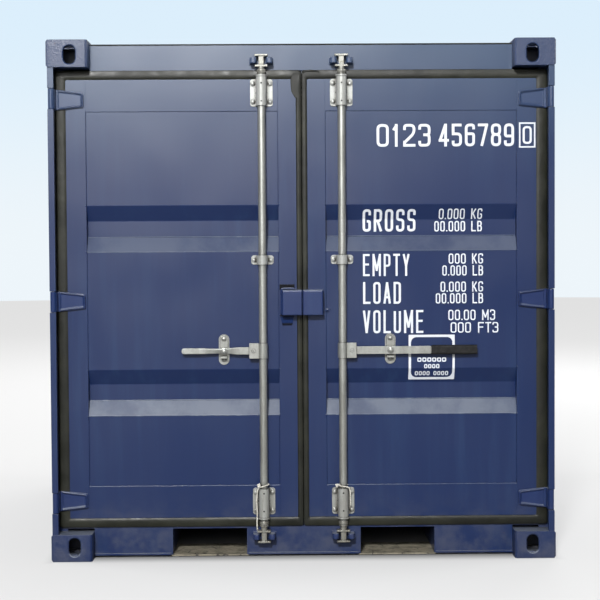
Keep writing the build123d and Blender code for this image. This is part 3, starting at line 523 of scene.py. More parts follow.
rubberLook = {
    "fresh": (0.0080, 0.0086, 0.0060),
    "weathered": (0.0200, 0.0208, 0.0140),
    "weather": (5.0, 4.0, 0.6, 0.35, 0.70),
    "dark": (0.0036, 0.0038, 0.0030),
    "darkSpots": (55.0, 5.0, 0.7, 0.52, 0.75),
    "darkFull": 0.6,
    "glossPatches": (12.0, 4.0, 0.55, 0.3, 0.7),
    "roughness": (0.34, 0.52),
    "specular": 0.30,
    "lumps": (30.0, 3.0),
    "lumpDeep": 0.0012,
    "pores": (480.0, 2.0),
    "poreDeep": 0.00015,
}


def sealRubber(name, look):
    material, tree, shader, place = startMaterial(name)
    colour = mixed(tree, patchy(tree, place, look["weather"]), look["fresh"], look["weathered"])
    spots = patchy(tree, place, look["darkSpots"], 0.0, look["darkFull"])
    wire(tree, mixed(tree, spots, colour, look["dark"]), shader.inputs["Base Color"])
    wire(tree, patchy(tree, place, look["glossPatches"], *look["roughness"]), shader.inputs["Roughness"])
    shader.inputs["Specular IOR Level"].default_value = look["specular"]
    bumped(tree, shader, [(noise(tree, place, *look["lumps"]), look["lumpDeep"]),
                          (noise(tree, place, *look["pores"]), look["poreDeep"])])
    return material


sleeveLook = {
    "black": (0.006, 0.006, 0.006),
    "worn": (0.020, 0.019, 0.018),
    "wear": (70.0, 5.0, 0.7, 0.45, 0.75),
    "glossPatches": (25.0, 3.0, 0.55, 0.3, 0.7),
    "roughness": (0.58, 0.80),
    "specular": 0.3,
    "pores": (600.0, 2.0),
    "poreDeep": 0.0003,
    "edge": 0.002,
}


def sleeveRubber(name, look):
    material, tree, shader, place = startMaterial(name)
    colour = mixed(tree, patchy(tree, place, look["wear"]), look["black"], look["worn"])
    wire(tree, colour, shader.inputs["Base Color"])
    wire(tree, patchy(tree, place, look["glossPatches"], *look["roughness"]), shader.inputs["Roughness"])
    shader.inputs["Specular IOR Level"].default_value = look["specular"]
    bumped(tree, shader, [(noise(tree, place, *look["pores"]), look["poreDeep"])], look["edge"])
    return material


pinLook = {
    "steel": (0.46, 0.45, 0.42),
    "overspray": (0.035, 0.050, 0.120),
    "sprayed": (60.0, 4.0, 0.6, 0.48, 0.60),
    "metallic": 0.8,
    "roughness": (0.32, 0.5),
    "dents": (220.0, 3.0),
    "dentDeep": 0.0002,
}


def pinSteel(name, look):
    material, tree, shader, place = startMaterial(name, look["metallic"])
    sprayed = patchy(tree, place, look["sprayed"])
    wire(tree, mixed(tree, sprayed, look["steel"], look["overspray"]), shader.inputs["Base Color"])
    wire(tree, ranged(tree, sprayed, 0.0, 1.0, *look["roughness"]), shader.inputs["Roughness"])
    bumped(tree, shader, [(noise(tree, place, *look["dents"]), look["dentDeep"])])
    return material


plyLook = {
    "dark": (0.105, 0.048, 0.026),
    "light": (0.215, 0.112, 0.062),
    "grain": (9.0, 6.0, 0.65, 0.6),  # the last number bends it
    "grainDraw": (12.0, 1.0, 1.0),
    "grainRange": (0.30, 0.72),
    "grainDeep": 0.0008,
    "scuff": (0.25, 0.205, 0.160),
    "scuffs": (4.0, 6.0, 0.7, 0.52, 0.74),
    "scuffFull": 0.55,
    "roughness": (0.42, 0.68),
}


def floorPly(name, look):
    material, tree, shader, place = startMaterial(name)
    grain = noise(tree, stretched(tree, place, look["grainDraw"]), *look["grain"])
    colour = mixed(tree, ranged(tree, grain, *look["grainRange"]), look["dark"], look["light"])
    scuffed = patchy(tree, place, look["scuffs"], 0.0, look["scuffFull"])
    wire(tree, mixed(tree, scuffed, colour, look["scuff"]), shader.inputs["Base Color"])
    wire(tree, ranged(tree, scuffed, 0.0, look["scuffFull"], *look["roughness"]), shader.inputs["Roughness"])
    bumped(tree, shader, [(grain, look["grainDeep"])])
    return material


strapLook = {
    "primer": (0.240, 0.215, 0.160),
    "grime": (0.120, 0.110, 0.082),
    "grimePatches": (20.0, 6.0, 0.7, 0.38, 0.66),
    "crack": (0.018, 0.016, 0.014),
    "crackScale": 14.0,
    "crackDraw": (1.0, 1.0, 0.35),
    "crackWide": (0.012, 0.05),
    "crackPatches": (11.0, 3.0, 0.55, 0.45, 0.58),
    "roughness": (0.55, 0.8),
    "scale": (90.0, 5.0, 0.7),
    "scaleDeep": 0.0012,
}


def strapPaint(name, look):
    material, tree, shader, place = startMaterial(name)
    patches = patchy(tree, place, look["grimePatches"])
    colour = mixed(tree, patches, look["primer"], look["grime"])
    cracks = tree.nodes.new("ShaderNodeTexVoronoi")
    cracks.feature = "DISTANCE_TO_EDGE"
    cracks.inputs["Scale"].default_value = look["crackScale"]
    wire(tree, stretched(tree, place, look["crackDraw"]), cracks.inputs["Vector"])
    torn = times(tree, ranged(tree, cracks.outputs["Distance"], *look["crackWide"], 1.0, 0.0),
                 patchy(tree, place, look["crackPatches"]))
    wire(tree, mixed(tree, torn, colour, look["crack"]), shader.inputs["Base Color"])
    wire(tree, ranged(tree, patches, 0.0, 1.0, *look["roughness"]), shader.inputs["Roughness"])
    bumped(tree, shader, [(noise(tree, place, *look["scale"]), look["scaleDeep"])])
    return material


ropeLook = {
    "cotton": (0.66, 0.64, 0.57),
    "soil": (0.36, 0.34, 0.29),
    "soiled": (80.0, 5.0, 0.7, 0.42, 0.70),
    "roughness": (0.8, 0.95),
    "sheen": 0.25,
    "fibres": (900.0, 2.0),
    "fibreDeep": 0.0004,
}


def ropeCotton(name, look):
    material, tree, shader, place = startMaterial(name)
    soiled = patchy(tree, place, look["soiled"])
    wire(tree, mixed(tree, soiled, look["cotton"], look["soil"]), shader.inputs["Base Color"])
    wire(tree, ranged(tree, soiled, 0.0, 1.0, *look["roughness"]), shader.inputs["Roughness"])
    shader.inputs["Sheen Weight"].default_value = look["sheen"]
    bumped(tree, shader, [(noise(tree, place, *look["fibres"]), look["fibreDeep"])])
    return material


letterLook = {
    "white": (0.65, 0.675, 0.715),
    "thin": (0.34, 0.38, 0.48),
    "thinPatches": (38.0, 5.0, 0.7, 0.56, 0.78),
    "thinFull": 0.4,
    "glossPatches": (20.0, 3.0, 0.55, 0.3, 0.7),
    "roughness": (0.34, 0.5),
    "film": (300.0, 3.0),
    "filmDeep": 0.0001,
}


def letterPaint(name, look):
    material, tree, shader, place = startMaterial(name)
    thin = patchy(tree, place, look["thinPatches"], 0.0, look["thinFull"])
    wire(tree, mixed(tree, thin, look["white"], look["thin"]), shader.inputs["Base Color"])
    wire(tree, patchy(tree, place, look["glossPatches"], *look["roughness"]), shader.inputs["Roughness"])
    bumped(tree, shader, [(noise(tree, place, *look["film"]), look["filmDeep"])])
    return material


finishes = {
    "navy_paint": navyPaint("gloss_navy", navyLook),
    "casting_steel": navyPaint("cast_navy", castLook),
    "galvanised": zincCoat("zinc_coat", zincLook),
    "seal_rubber": sealRubber("weathered_seal", rubberLook),
    "grip_rubber": sleeveRubber("black_sleeve", sleeveLook),
    "bright_pin": pinSteel("worn_pin", pinLook),
    "floor_plywood": floorPly("floor_ply", plyLook),
    "strap_steel": strapPaint("scuffed_strap", strapLook),
    "rope": ropeCotton("white_cord", ropeLook),
}
letterWhite = letterPaint("letter_white", letterLook)
boxPaint = navyPaint("pressed_navy", boxLook)
bendHighlightPaint = navyPaint("rubbed_navy", bendHighlightLook)
camZinc = zincCoat("dirty_zinc", camLook)
plateZinc = zincCoat("plate_zinc", plateLook)
ownFinishes = {
    "left_lock_box": boxPaint,
    "right_lock_box": boxPaint,
    "left_hinge_blades": boxPaint,
    "right_hinge_blades": boxPaint,
    "top_keepers": boxPaint,
    "bottom_keepers": boxPaint,
    "lock_box_staple": staplePaint("black_staple", stapleLook),
    "left_rod_brackets": plateZinc,
    "right_rod_brackets": plateZinc,
    "left_rod_cams": camZinc,
    "right_rod_cams": camZinc,
}

for part in frame["record"]["subparts"]:
    for slot in nodes[part["node"]].material_slots:
        slot.material = ownFinishes.get(part["node"], finishes[part["material_slot"]])
print("finishes made and laid on", len(nodes), "nodes")


# Ropes tied round the rods

ropes = {
    "left": {
        "rod": (-0.174, -1.166, 0.2475),
        "route": [
            (-0.0208, -0.0120, 0.0785), (-0.0208, 0.0120, 0.0795), (0.0, 0.0240, 0.0805),
            (0.0208, 0.0120, 0.0795), (0.0208, -0.0120, 0.0775), (0.0, -0.0245, 0.0725),
            (-0.0260, -0.0130, 0.0640), (-0.0315, -0.0020, 0.0320), (-0.0325, 0.0020, -0.0125),
            (-0.0305, 0.0035, -0.0525), (-0.0320, 0.0020, -0.0975), (-0.0310, 0.0030, -0.1195),
        ],
        "length": 0.325,
        "knotAt": (-0.0225, -0.0215, 0.0745),
        "strayFibres": 13,
    },
    "right": {
        "rod": (0.174, -1.166, 0.2475),
        "route": [
            (0.0208, 0.0120, 0.0705), (0.0, 0.0240, 0.0725), (-0.0208, 0.0120, 0.0735),
            (-0.0208, -0.0120, 0.0715), (0.0, -0.0245, 0.0685), (0.0260, -0.0130, 0.0630),
            (0.0315, -0.0020, 0.0325), (0.0310, 0.0020, 0.0030), (0.0325, 0.0010, -0.0160),
        ],
        "length": 0.197,
        "knotAt": (-0.0275, -0.0160, 0.0725),
        "strayFibres": 7,
    },
    "diameter": 0.006,
    "core": 0.84,  # core, strands, lay and knot cord are shares of the diameter
    "strand": (0.235, 0.27),  # off the middle, radius
    "lay": 3.2,  # length of one turn of the strands
    "knotCord": 0.44,
    "knotLoop": (0.0022, 0.0026),  # half width, half depth
    "fibre": 0.0008,
    "frayRoot": 0.004,  # the fibres start this far inside the end
    "frayLean": (0.05, 0.55),
    "frayReach": (0.007, 0.014),
}


def splinePoints(curve):
    bare = curve.copy()
    bare.data = curve.data.copy()
    bare.data.bevel_depth = 0
    scene.collection.objects.link(bare)
    bpy.context.view_layer.update()
    mesh = bpy.data.meshes.new_from_object(bare.evaluated_get(bpy.context.evaluated_depsgraph_get()))
    points = [vertex.co.copy() for vertex in mesh.vertices]
    bpy.data.objects.remove(bare)
    return points


def tieRope(side, facts, look):
    diameter = look["diameter"]
    rod = Vector(facts["rod"])
    body = side + "_door"
    route = [rod + Vector(step) for step in facts["route"]]
    curve = bpy.data.curves.new(side + "_rope", "CURVE")
    curve.dimensions = "3D"
    curve.resolution_u = 12
    curve.bevel_depth = diameter / 2 * look["core"]
    curve.bevel_resolution = 3
    curve.use_fill_caps = True
    spline = curve.splines.new("NURBS")
    spline.points.add(len(route) - 1)
    for point, place in zip(spline.points, route):
        point.co = (*place, 1)
    spline.order_u = 3
    spline.use_endpoint_u = True
    rope = bpy.data.objects.new(side + "_rope", curve)
    scene.collection.objects.link(rope)
    curve.materials.append(finishes["rope"])
    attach(rope, body)
    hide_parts(side + "_door_rope")

    points = splinePoints(rope)
    walked = [0.0]
    for near, far in zip(points, points[1:]):
        walked.append(walked[-1] + (far - near).length)
    bm = bmesh.new()
    off, thick = look["strand"]
    for strand in range(3):
        path = []
        across = None
        for number, point in enumerate(points):
            along = (points[min(number + 1, len(points) - 1)] - points[max(number - 1, 0)]).normalized()
            if across is None:
                across = frameAcross(along)[0]
            across = (across - along * across.dot(along)).normalized()
            angle = 2 * math.pi * (strand / 3 + walked[number] / (diameter * look["lay"]))
            offset = across * math.cos(angle) + along.cross(across) * math.sin(angle)
            path.append(point + offset * diameter * off)
        addTube(bm, path, diameter * thick, 7)
    strands = finishPiece(side + "_rope_strands", bm, body, finishes["rope"])

    bm = bmesh.new()
    knotMiddle = rod + Vector(facts["knotAt"])
    wide, deep = look["knotLoop"]
    steps = 40
    path = []
    for step in range(steps + 1):
        angle = 2 * math.pi * step / steps * 0.97  # an overhand knot, open at its ends
        path.append(knotMiddle + Vector((
            (math.sin(angle) + 2 * math.sin(2 * angle)) * wide,
            -math.sin(3 * angle) * deep,
            (math.cos(angle) - 2 * math.cos(2 * angle)) * wide,
        )))
    addTube(bm, path, diameter * look["knotCord"], 8)
    knot = finishPiece(side + "_rope_knot", bm, body, finishes["rope"])

    bm = bmesh.new()
    draw = random.Random(len(route))
    end = points[-1]
    down = (points[-1] - points[-3]).normalized()
    right, over = frameAcross(down)
    for _ in range(facts["strayFibres"]):
        angle = draw.uniform(0, 2 * math.pi)
        lean = draw.uniform(*look["frayLean"])
        reach = draw.uniform(*look["frayReach"])
        out = right * math.cos(angle) + over * math.sin(angle) * 0.6
        start = end - down * look["frayRoot"] + out * diameter * 0.25
        path = [start]
        for step in range(1, 6):
            share = step / 5
            path.append(start + down * reach * share + out * reach * lean * share * share)
        addTube(bm, path, look["fibre"], 5, taper=0.45)
    fray = finishPiece(side + "_rope_fray", bm, body, finishes["rope"])


for side in ("left", "right"):
    tieRope(side, ropes[side], ropes)
print("ropes tied")


# Bolts, rivets and pins

bolts = {
    "rodX": 0.174,
    "endFace": -1.146,
    "guideFace": -1.143,
    "endLevels": (0.2475, 2.0355),
    "guideLevel": 1.308,
    "across": 0.0372,
    "upDown": 0.0395,
    "head": 0.0085,
    "barrelFace": -1.1885,
    "greaseHoles": 0.0390,  # above and below the middle of an end barrel
    "greaseRadius": 0.0036,
    "plugWeldShade": 0.0230,  # beside the barrel
}
# heads as radius and height, in radii of the head
roundHead = [(1.40, 0.0), (1.40, 0.13), (1.32, 0.2), (1.0, 0.22), (1.0, 0.42), (0.93, 0.62), (0.72, 0.80),
             (0.40, 0.90), (0.0, 0.93)]
flatHead = [(1.0, 0.0), (1.0, 0.26), (0.90, 0.36), (0.45, 0.38), (0.40, 0.24), (0.0, 0.20)]
holeShadeDisc = [(1.0, 0.0), (0.9, 0.10), (0.0, 0.16)]


def addHead(bm, place, radius, shape=roundHead, sides=20):
    addLathe(bm, [(wide * radius, high * radius) for wide, high in shape], Vector(place), towardsDoors, sides)


def boltBrackets(side, facts):
    sign = -1 if side == "left" else 1
    rodX = sign * facts["rodX"]
    bm = bmesh.new()
    for level in facts["endLevels"]:
        for across in (-1, 1):
            for rise in (-1, 1):
                addHead(bm, (rodX + across * facts["across"], facts["endFace"], level + rise * facts["upDown"]),
                        facts["head"])
    for across in (-1, 1):
        addHead(bm, (rodX + across * facts["across"], facts["guideFace"], facts["guideLevel"]), facts["head"])
    finishPiece(side + "_bracket_bolts", bm, side + "_door", plateZinc)
    # black discs in the grease holes and at the plug welds beside the barrel: painted shade
    bm = bmesh.new()
    for level in facts["endLevels"]:
        for rise in (-1, 1):
            addHead(bm, (rodX, facts["barrelFace"], level + rise * facts["greaseHoles"]), facts["greaseRadius"],
                    holeShadeDisc, 14)
        for across in (-1, 1):
            addHead(bm, (rodX + across * facts["plugWeldShade"], facts["endFace"], level), facts["greaseRadius"],
                    holeShadeDisc, 14)
    finishPiece(side + "_grease_holes", bm, side + "_door", finishes["grip_rubber"])


catches = {
    "left": {"x": -0.345, "hubX": -0.215},
    "right": {"x": 0.384, "hubX": 0.215},
    # face, level, radius
    "lower": (-1.143, 0.872, 0.0076),
    "upper": (-1.1508, 0.963, 0.0064),
    "pivot": (-1.1763, 0.911, 0.0080),
    "stud": (-1.172, 0.911, 0.0100),
}


def rivetCatch(side, facts):
    bm = bmesh.new()
    for face, level, radius in (facts["lower"], facts["upper"]):
        addHead(bm, (facts[side]["x"], face, level), radius)
    finishPiece(side + "_catch_rivets", bm, side + "_door", finishes["galvanised"])
    face, level, radius = facts["pivot"]
    bm = bmesh.new()
    addHead(bm, (facts[side]["hubX"], face, level), radius, flatHead)
    finishPiece(side + "_hub_pin", bm, side + "_rod", finishes["galvanised"])
    face, level, radius = facts["stud"]
    bm = bmesh.new()
    addHead(bm, (facts[side]["x"], face, level), radius)
    finishPiece(side + "_handle_stud", bm, side + "_handle_bar", finishes["galvanised"])


for side in ("left", "right"):
    boltBrackets(side, bolts)
    rivetCatch(side, catches)
print("bolts, rivets and pins set")


# Left handle, necked and twisted where it lies in its catch

twisted = {
    "axis": (-1.166, 0.911),  # y, z
    "thick": 0.0120,
    "stations": [
        # x, height, turn
        (-0.2012, 0.0120, 0), (-0.2022, 0.0200, 0), (-0.2060, 0.0275, 0), (-0.2120, 0.0318, 0),
        (-0.2200, 0.0330, 0), (-0.2700, 0.0330, 0), (-0.2900, 0.0318, 0), (-0.3060, 0.0280, 5),
        (-0.3180, 0.0245, 11), (-0.3300, 0.0225, 17), (-0.3450, 0.0215, 21), (-0.3650, 0.0210, 22),
        (-0.3850, 0.0215, 18), (-0.4050, 0.0225, 11), (-0.4220, 0.0243, 4), (-0.4320, 0.0258, 0),
        (-0.5150, 0.0258, 0), (-0.5240, 0.0245, 0), (-0.5276, 0.0200, 0), (-0.5288, 0.0120, 0),
    ],
    "corner": 0.0022,
}


def twistHandle(facts):
    y, z = facts["axis"]
    half = facts["thick"] / 2
    bm = bmesh.new()
    rings = []
    for x, height, turn in facts["stations"]:
        tall = height / 2
        cut = facts["corner"]
        angle = math.radians(turn)
        outline = [(-half, -tall + cut), (-half, tall - cut), (-half + cut, tall), (half - cut, tall),
                   (half, tall - cut), (half, -tall + cut), (half - cut, -tall), (-half + cut, -tall)]
        ring = []
        for across, rise in outline:
            ring.append(bm.verts.new((x, y + across * math.cos(angle) - rise * math.sin(angle),
                                      z + across * math.sin(angle) + rise * math.cos(angle))))
        rings.append(ring)
    for before, after in zip(rings, rings[1:]):
        for step in range(len(before)):
            beside = (step + 1) % len(before)
            bm.faces.new((before[step], before[beside], after[beside], after[step]))
    bm.faces.new(list(reversed(rings[0])))
    bm.faces.new(rings[-1])
    bar = finishPiece("left_twisted_handle", bm, "left_handle_bar", finishes["galvanised"])
    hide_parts("left_handle")


twistHandle(twisted)
print("handle twisted")


# Collars welded on the rods beyond the brackets

collars = {
    "axis": -1.166,
    "levels": ((2.1205, 1), (0.1625, -1)),  # level, and whether it rises or falls from there
    "profile": [(0.0170, 0.0), (0.0192, 0.0006), (0.0200, 0.0022), (0.0200, 0.0060), (0.0190, 0.0068),
                (0.0190, 0.0078), (0.0200, 0.0086), (0.0200, 0.0118), (0.0192, 0.0134), (0.0170, 0.0140)],
}


def weldCollars(side, facts):
    rodX = bolts["rodX"] * (-1 if side == "left" else 1)
    bm = bmesh.new()
    for level, way in facts["levels"]:
        addLathe(bm, facts["profile"], Vector((rodX, facts["axis"], level)), up * way, 28)
    finishPiece(side + "_rod_collars", bm, side + "_rod", camZinc)


for side in ("left", "right"):
    weldCollars(side, collars)
print("collars welded")


# Lock box: the screw beside it, the rim on its left half and the lip that meets it

lockBox = {
    "screw": (0.1082, -1.141, 1.0878),
    "screwHead": 0.0062,
    "screwTab": (0.0900, 0.1215, 1.0790, 1.0965),  # left, right, low, high
    "tabThick": 0.003,
    "lip": (-0.0003, 0.0036, 1.0690, 1.1755),
    "lipDepth": (-1.1875, -1.1845),
    "rim": [(-0.0370, 1.1825), (-0.0930, 1.1825), (-0.0930, 1.0700)],
    "rimRound": 0.010,
    "rimFace": -1.1500,
    "rimRadius": 0.0050,
}


def addBlock(bm, left, right, low, high, near, far):
    made = bmesh.ops.create_cube(bm, size=1.0)["verts"]
    for vertex in made:
        vertex.co = (left if vertex.co.x < 0 else right, near if vertex.co.y < 0 else far,
                     low if vertex.co.z < 0 else high)
    edges = [edge for edge in bm.edges if edge.verts[0] in made]
    rounding = min(right - left, far - near, high - low) * 0.2
    bmesh.ops.bevel(bm, geom=edges, offset=rounding, segments=2, affect="EDGES")


def fitLockBox(facts):
    bm = bmesh.new()
    face = facts["screw"][1]
    addBlock(bm, *facts["screwTab"], face - facts["tabThick"], face)
    addHead(bm, (facts["screw"][0], face - facts["tabThick"], facts["screw"][2]), facts["screwHead"],
            roundHead, 6)
    finishPiece("lock_box_screw", bm, "right_door", finishes["navy_paint"])
    bm = bmesh.new()
    addBlock(bm, *facts["lip"], *facts["lipDepth"])
    finishPiece("lock_box_lip", bm, "right_door", boxPaint)
    bm = bmesh.new()
    corners = roundedPath([Vector(corner) for corner in facts["rim"]], facts["rimRound"])
    path = [Vector((place.x, facts["rimFace"], place.y)) for place in corners]
    addTube(bm, path, facts["rimRadius"], 10, flat=0.8)
    finishPiece("lock_box_rim", bm, "left_door", boxPaint)


fitLockBox(lockBox)
print("lock box fitted")


# Seals: the swell of the rubber and the patched corner at the top

seals = {
    "outer": (1.0765, 0.0007, 0.1355, 2.1350),  # far x, near x, low, high
    "outerRound": 0.012,
    "inner": (1.0250, 0.0255, 0.1765, 2.0935),
    "innerRound": 0.006,
    "swell": [(0.0, -1.1350), (0.01, -1.1395), (0.05, -1.1418), (0.20, -1.1432), (0.50, -1.1443),
              (0.72, -1.1441), (0.88, -1.1428), (0.97, -1.1408), (1.0, -1.1370)],  # share of the way in, face
    "step": 0.045,
    "sag": (-0.0005, 0.0003),
    "patch": [(-0.0120, 2.128), (-0.0400, 2.127), (-0.0480, 2.090), (-0.0440, 2.040), (-0.0260, 2.010),
              (-0.0120, 2.012), (-0.0120, 2.128)],
    "patchRound": 0.014,
    "patchFace": -1.1395,
    "patchThick": 0.0055,
    "patchEdge": 0.0030,
    "fold": [(0.0060, 2.1230, -1.1405), (0.0180, 2.1290, -1.1420), (0.0400, 2.1310, -1.1425),
             (0.0620, 2.1290, -1.1415), (0.0800, 2.1240, -1.1392)],  # x, level, face
    "foldRadius": 0.0046,
}


def cornerArcs(edges, rounding, steps=4):
    far, near, low, high = edges
    arcs = []
    for x, z, start in ((far - rounding, high - rounding, 0), (near + rounding, high - rounding, 90),
                        (near + rounding, low + rounding, 180), (far - rounding, low + rounding, 270)):
        for step in range(steps + 1):
            angle = math.radians(start + 90 * step / steps)
            arcs.append(Vector((x + rounding * math.cos(angle), z + rounding * math.sin(angle))))
    return arcs


def addSwell(bm, sign, facts, draw):
    outer = cornerArcs(facts["outer"], facts["outerRound"])
    inner = cornerArcs(facts["inner"], facts["innerRound"])
    stations = []
    for number in range(len(outer)):
        after = (number + 1) % len(outer)
        count = max(int((outer[after] - outer[number]).length / facts["step"]), 1)
        for step in range(count):
            share = step / count
            stations.append((outer[number].lerp(outer[after], share), inner[number].lerp(inner[after], share)))
    rows = []
    for outside, inside in stations:
        sag = draw.uniform(*facts["sag"])
        row = []
        for share, face in facts["swell"]:
            place = outside.lerp(inside, share)
            row.append(bm.verts.new((sign * place.x, face + sag * math.sin(math.pi * share), place.y)))
        rows.append(row)
    for number, row in enumerate(rows):
        after = rows[(number + 1) % len(rows)]
        for step in range(len(row) - 1):
            bm.faces.new((row[step], row[step + 1], after[step + 1], after[step]))


def dressSeals(facts):
    for side, sign in (("left", -1), ("right", 1)):
        bm = bmesh.new()
        draw = random.Random(side)
        addSwell(bm, sign, facts, draw)
        if side == "right":
            addTube(bm, [Vector((x, y, z)) for x, z, y in facts["fold"]], facts["foldRadius"], 10)
        finishPiece(side + "_seal_swell", bm, side + "_door", finishes["seal_rubber"])
    bm = bmesh.new()
    outline = roundedPath([Vector(corner) for corner in facts["patch"]], facts["patchRound"])[:-1]
    sheet = bm.faces.new([bm.verts.new((place.x, facts["patchFace"], place.y)) for place in outline])
    grown = bmesh.ops.extrude_face_region(bm, geom=[sheet])["geom"]
    for vertex in (item for item in grown if isinstance(item, bmesh.types.BMVert)):
        vertex.co.y -= facts["patchThick"]
    rim = [edge for edge in bm.edges if all(vertex.co.y < facts["patchFace"] - 0.001 for vertex in edge.verts)]
    bmesh.ops.bevel(bm, geom=rim, offset=facts["patchEdge"], segments=3, affect="EDGES")
    finishPiece("left_seal_patch", bm, "left_door", finishes["seal_rubber"])


dressSeals(seals)
print("seals dressed")


# Dark rubber bead where the roof sheet meets the header: a painted shadow line along the header's top

headerShadowLine = {
    "ends": (-1.0250, 1.0250),
    "level": 2.2465,
    "face": -1.1305,
    "radius": 0.0032,
    "wander": 0.0004,
    "steps": 120,
}


def paintHeaderShadowLine(facts):
    bm = bmesh.new()
    draw = random.Random("header")
    left, right = facts["ends"]
    points = []
    for step in range(facts["steps"] + 1):
        x = left + (right - left) * (step / facts["steps"])
        rise = draw.uniform(-facts["wander"], facts["wander"])
        points.append(Vector((x, facts["face"], facts["level"] + rise)))
    addTube(bm, points, facts["radius"], 8)
    finishPiece("header_sealant", bm, "shell", finishes["seal_rubber"])


paintHeaderShadowLine(headerShadowLine)
print("header sealed")


# Weld beads and sealant round the door panels

beads = {
    "panelEdges": (0.103, 0.941),
    "panelLevels": (0.316, 1.957),
    "face": -1.1385,
    "radius": 0.0022,
    "wander": 0.0007,
    "upright": (0.7, 0.5),  # radius and wander of the upright beads, as shares
    "inset": 0.0012,
    "cornerLevels": (0.6265, 0.8285, 1.345, 1.547),
    "cornerDot": 0.0038,
    "cornerFace": -1.1412,
    "cornerWander": 0.004,
    "cornerShape": (0.8, 0.45, 1.5),
    "step": 0.012,
}


def addBead(bm, start, end, radius, wander, draw):
    count = max(int((end - start).length / beads["step"]), 2)
    points = []
    for step in range(count + 1):
        shake = Vector((draw.uniform(-1, 1), draw.uniform(-0.6, 0.2), draw.uniform(-1, 1)))
        points.append(start.lerp(end, step / count) + shake * wander)
    addTube(bm, points, radius, 6, flat=0.8)


def sealPanel(side, facts):
    sign = -1 if side == "left" else 1
    draw = random.Random(side + "_bead")
    near, far = (sign * edge for edge in facts["panelEdges"])
    face, wander = facts["face"], facts["wander"]
    thinner, calmer = facts["upright"]
    bottom, top = facts["panelLevels"]
    levels = (bottom, *facts["cornerLevels"], top)
    bm = bmesh.new()
    for level in (bottom, top):
        addBead(bm, Vector((near, face, level)), Vector((far, face, level)), facts["radius"], wander, draw)
    for x in (near, far):
        inside = facts["inset"] * (1 if x == near else -1) * sign
        for low, high in zip(levels[0::2], levels[1::2]):
            addBead(bm, Vector((x + inside, face, low)), Vector((x + inside, face, high)),
                    facts["radius"] * thinner, wander * calmer, draw)
        for level in facts["cornerLevels"]:
            rise = draw.uniform(-facts["cornerWander"], facts["cornerWander"])
            place = Vector((x - inside * 2, facts["cornerFace"], level + rise))
            made = bmesh.ops.create_icosphere(bm, subdivisions=2, radius=facts["cornerDot"])["verts"]
            for vertex in made:
                vertex.co = place + vertex.co * Vector(facts["cornerShape"])
    finishPiece(side + "_panel_bead", bm, side + "_door", finishes["navy_paint"])


for side in ("left", "right"):
    sealPanel(side, beads)
print("panels sealed")


# Forged rims of the hinge blades, and the bends of the panel's grooves, painted lighter as a painted highlight

rims = {
    "levels": (0.255, 1.1315, 2.008),
    "root": (1.058, 0.0385),  # x, half height
    "tip": (0.9530, 0.0262),
    "round": 0.010,
    "face": -1.1526,
    "radius": 0.0040,
    "flat": 0.62,
}
bends = {
    "ends": (0.106, 0.938),
    "folds": [(0.6915, -1.1028), (0.6268, -1.1372), (1.4100, -1.1028), (1.3453, -1.1372)],  # level, face
    "radius": 0.0022,
    "wander": 0.0003,
    "steps": 24,
}


def rimHinges(side, facts):
    sign = -1 if side == "left" else 1
    rootX, rootHalf = facts["root"]
    tipX, tipHalf = facts["tip"]
    bm = bmesh.new()
    for level in facts["levels"]:
        corners = [Vector((rootX, level + rootHalf)), Vector((tipX, level + tipHalf)),
                   Vector((tipX, level - tipHalf)), Vector((rootX, level - rootHalf))]
        rounded = roundedPath(corners, facts["round"])
        path = [Vector((sign * place.x, facts["face"], place.y)) for place in rounded]
        addTube(bm, path, facts["radius"], 8, facts["flat"])
    finishPiece(side + "_hinge_rims", bm, side + "_door", boxPaint)


def highlightBends(side, facts):
    sign = -1 if side == "left" else 1
    near, far = (sign * end for end in facts["ends"])
    draw = random.Random(side + "_bend")
    bm = bmesh.new()
    for level, face in facts["folds"]:
        points = []
        for step in range(facts["steps"] + 1):
            rise = draw.uniform(-facts["wander"], facts["wander"])
            points.append(Vector((near + (far - near) * step / facts["steps"], face, level + rise)))
        addTube(bm, points, facts["radius"], 8)
    finishPiece(side + "_groove_bends", bm, side + "_door", bendHighlightPaint)


for side in ("left", "right"):
    rimHinges(side, rims)
    highlightBends(side, bends)
print("hinges rimmed and bends rubbed")


# Screws in the plywood floor

floorScrews = {
    "rows": (-1.060, -0.700, -0.345, -0.010, 0.330, 0.690, 1.050),
    "columns": (-0.95, -0.68, -0.36, 0.0, 0.36, 0.68, 0.95),
    "level": 0.165,
    "head": 0.0062,
    "shape": [(1.0, 0.0), (0.95, 0.10), (0.5, 0.13), (0.45, 0.02), (0.0, 0.02)],
}


def screwFloor(facts):
    profile = [(wide * facts["head"], high * facts["head"]) for wide, high in facts["shape"]]
    bm = bmesh.new()
    for row in facts["rows"]:
        for column in facts["columns"]:
            addLathe(bm, profile, Vector((column, row, facts["level"])), up, 12)
    finishPiece("floor_screws", bm, "shell", finishes["galvanised"])


screwFloor(floorScrews)
print("floor screwed down")


# White lettering on the right door, laid on the pressed panel

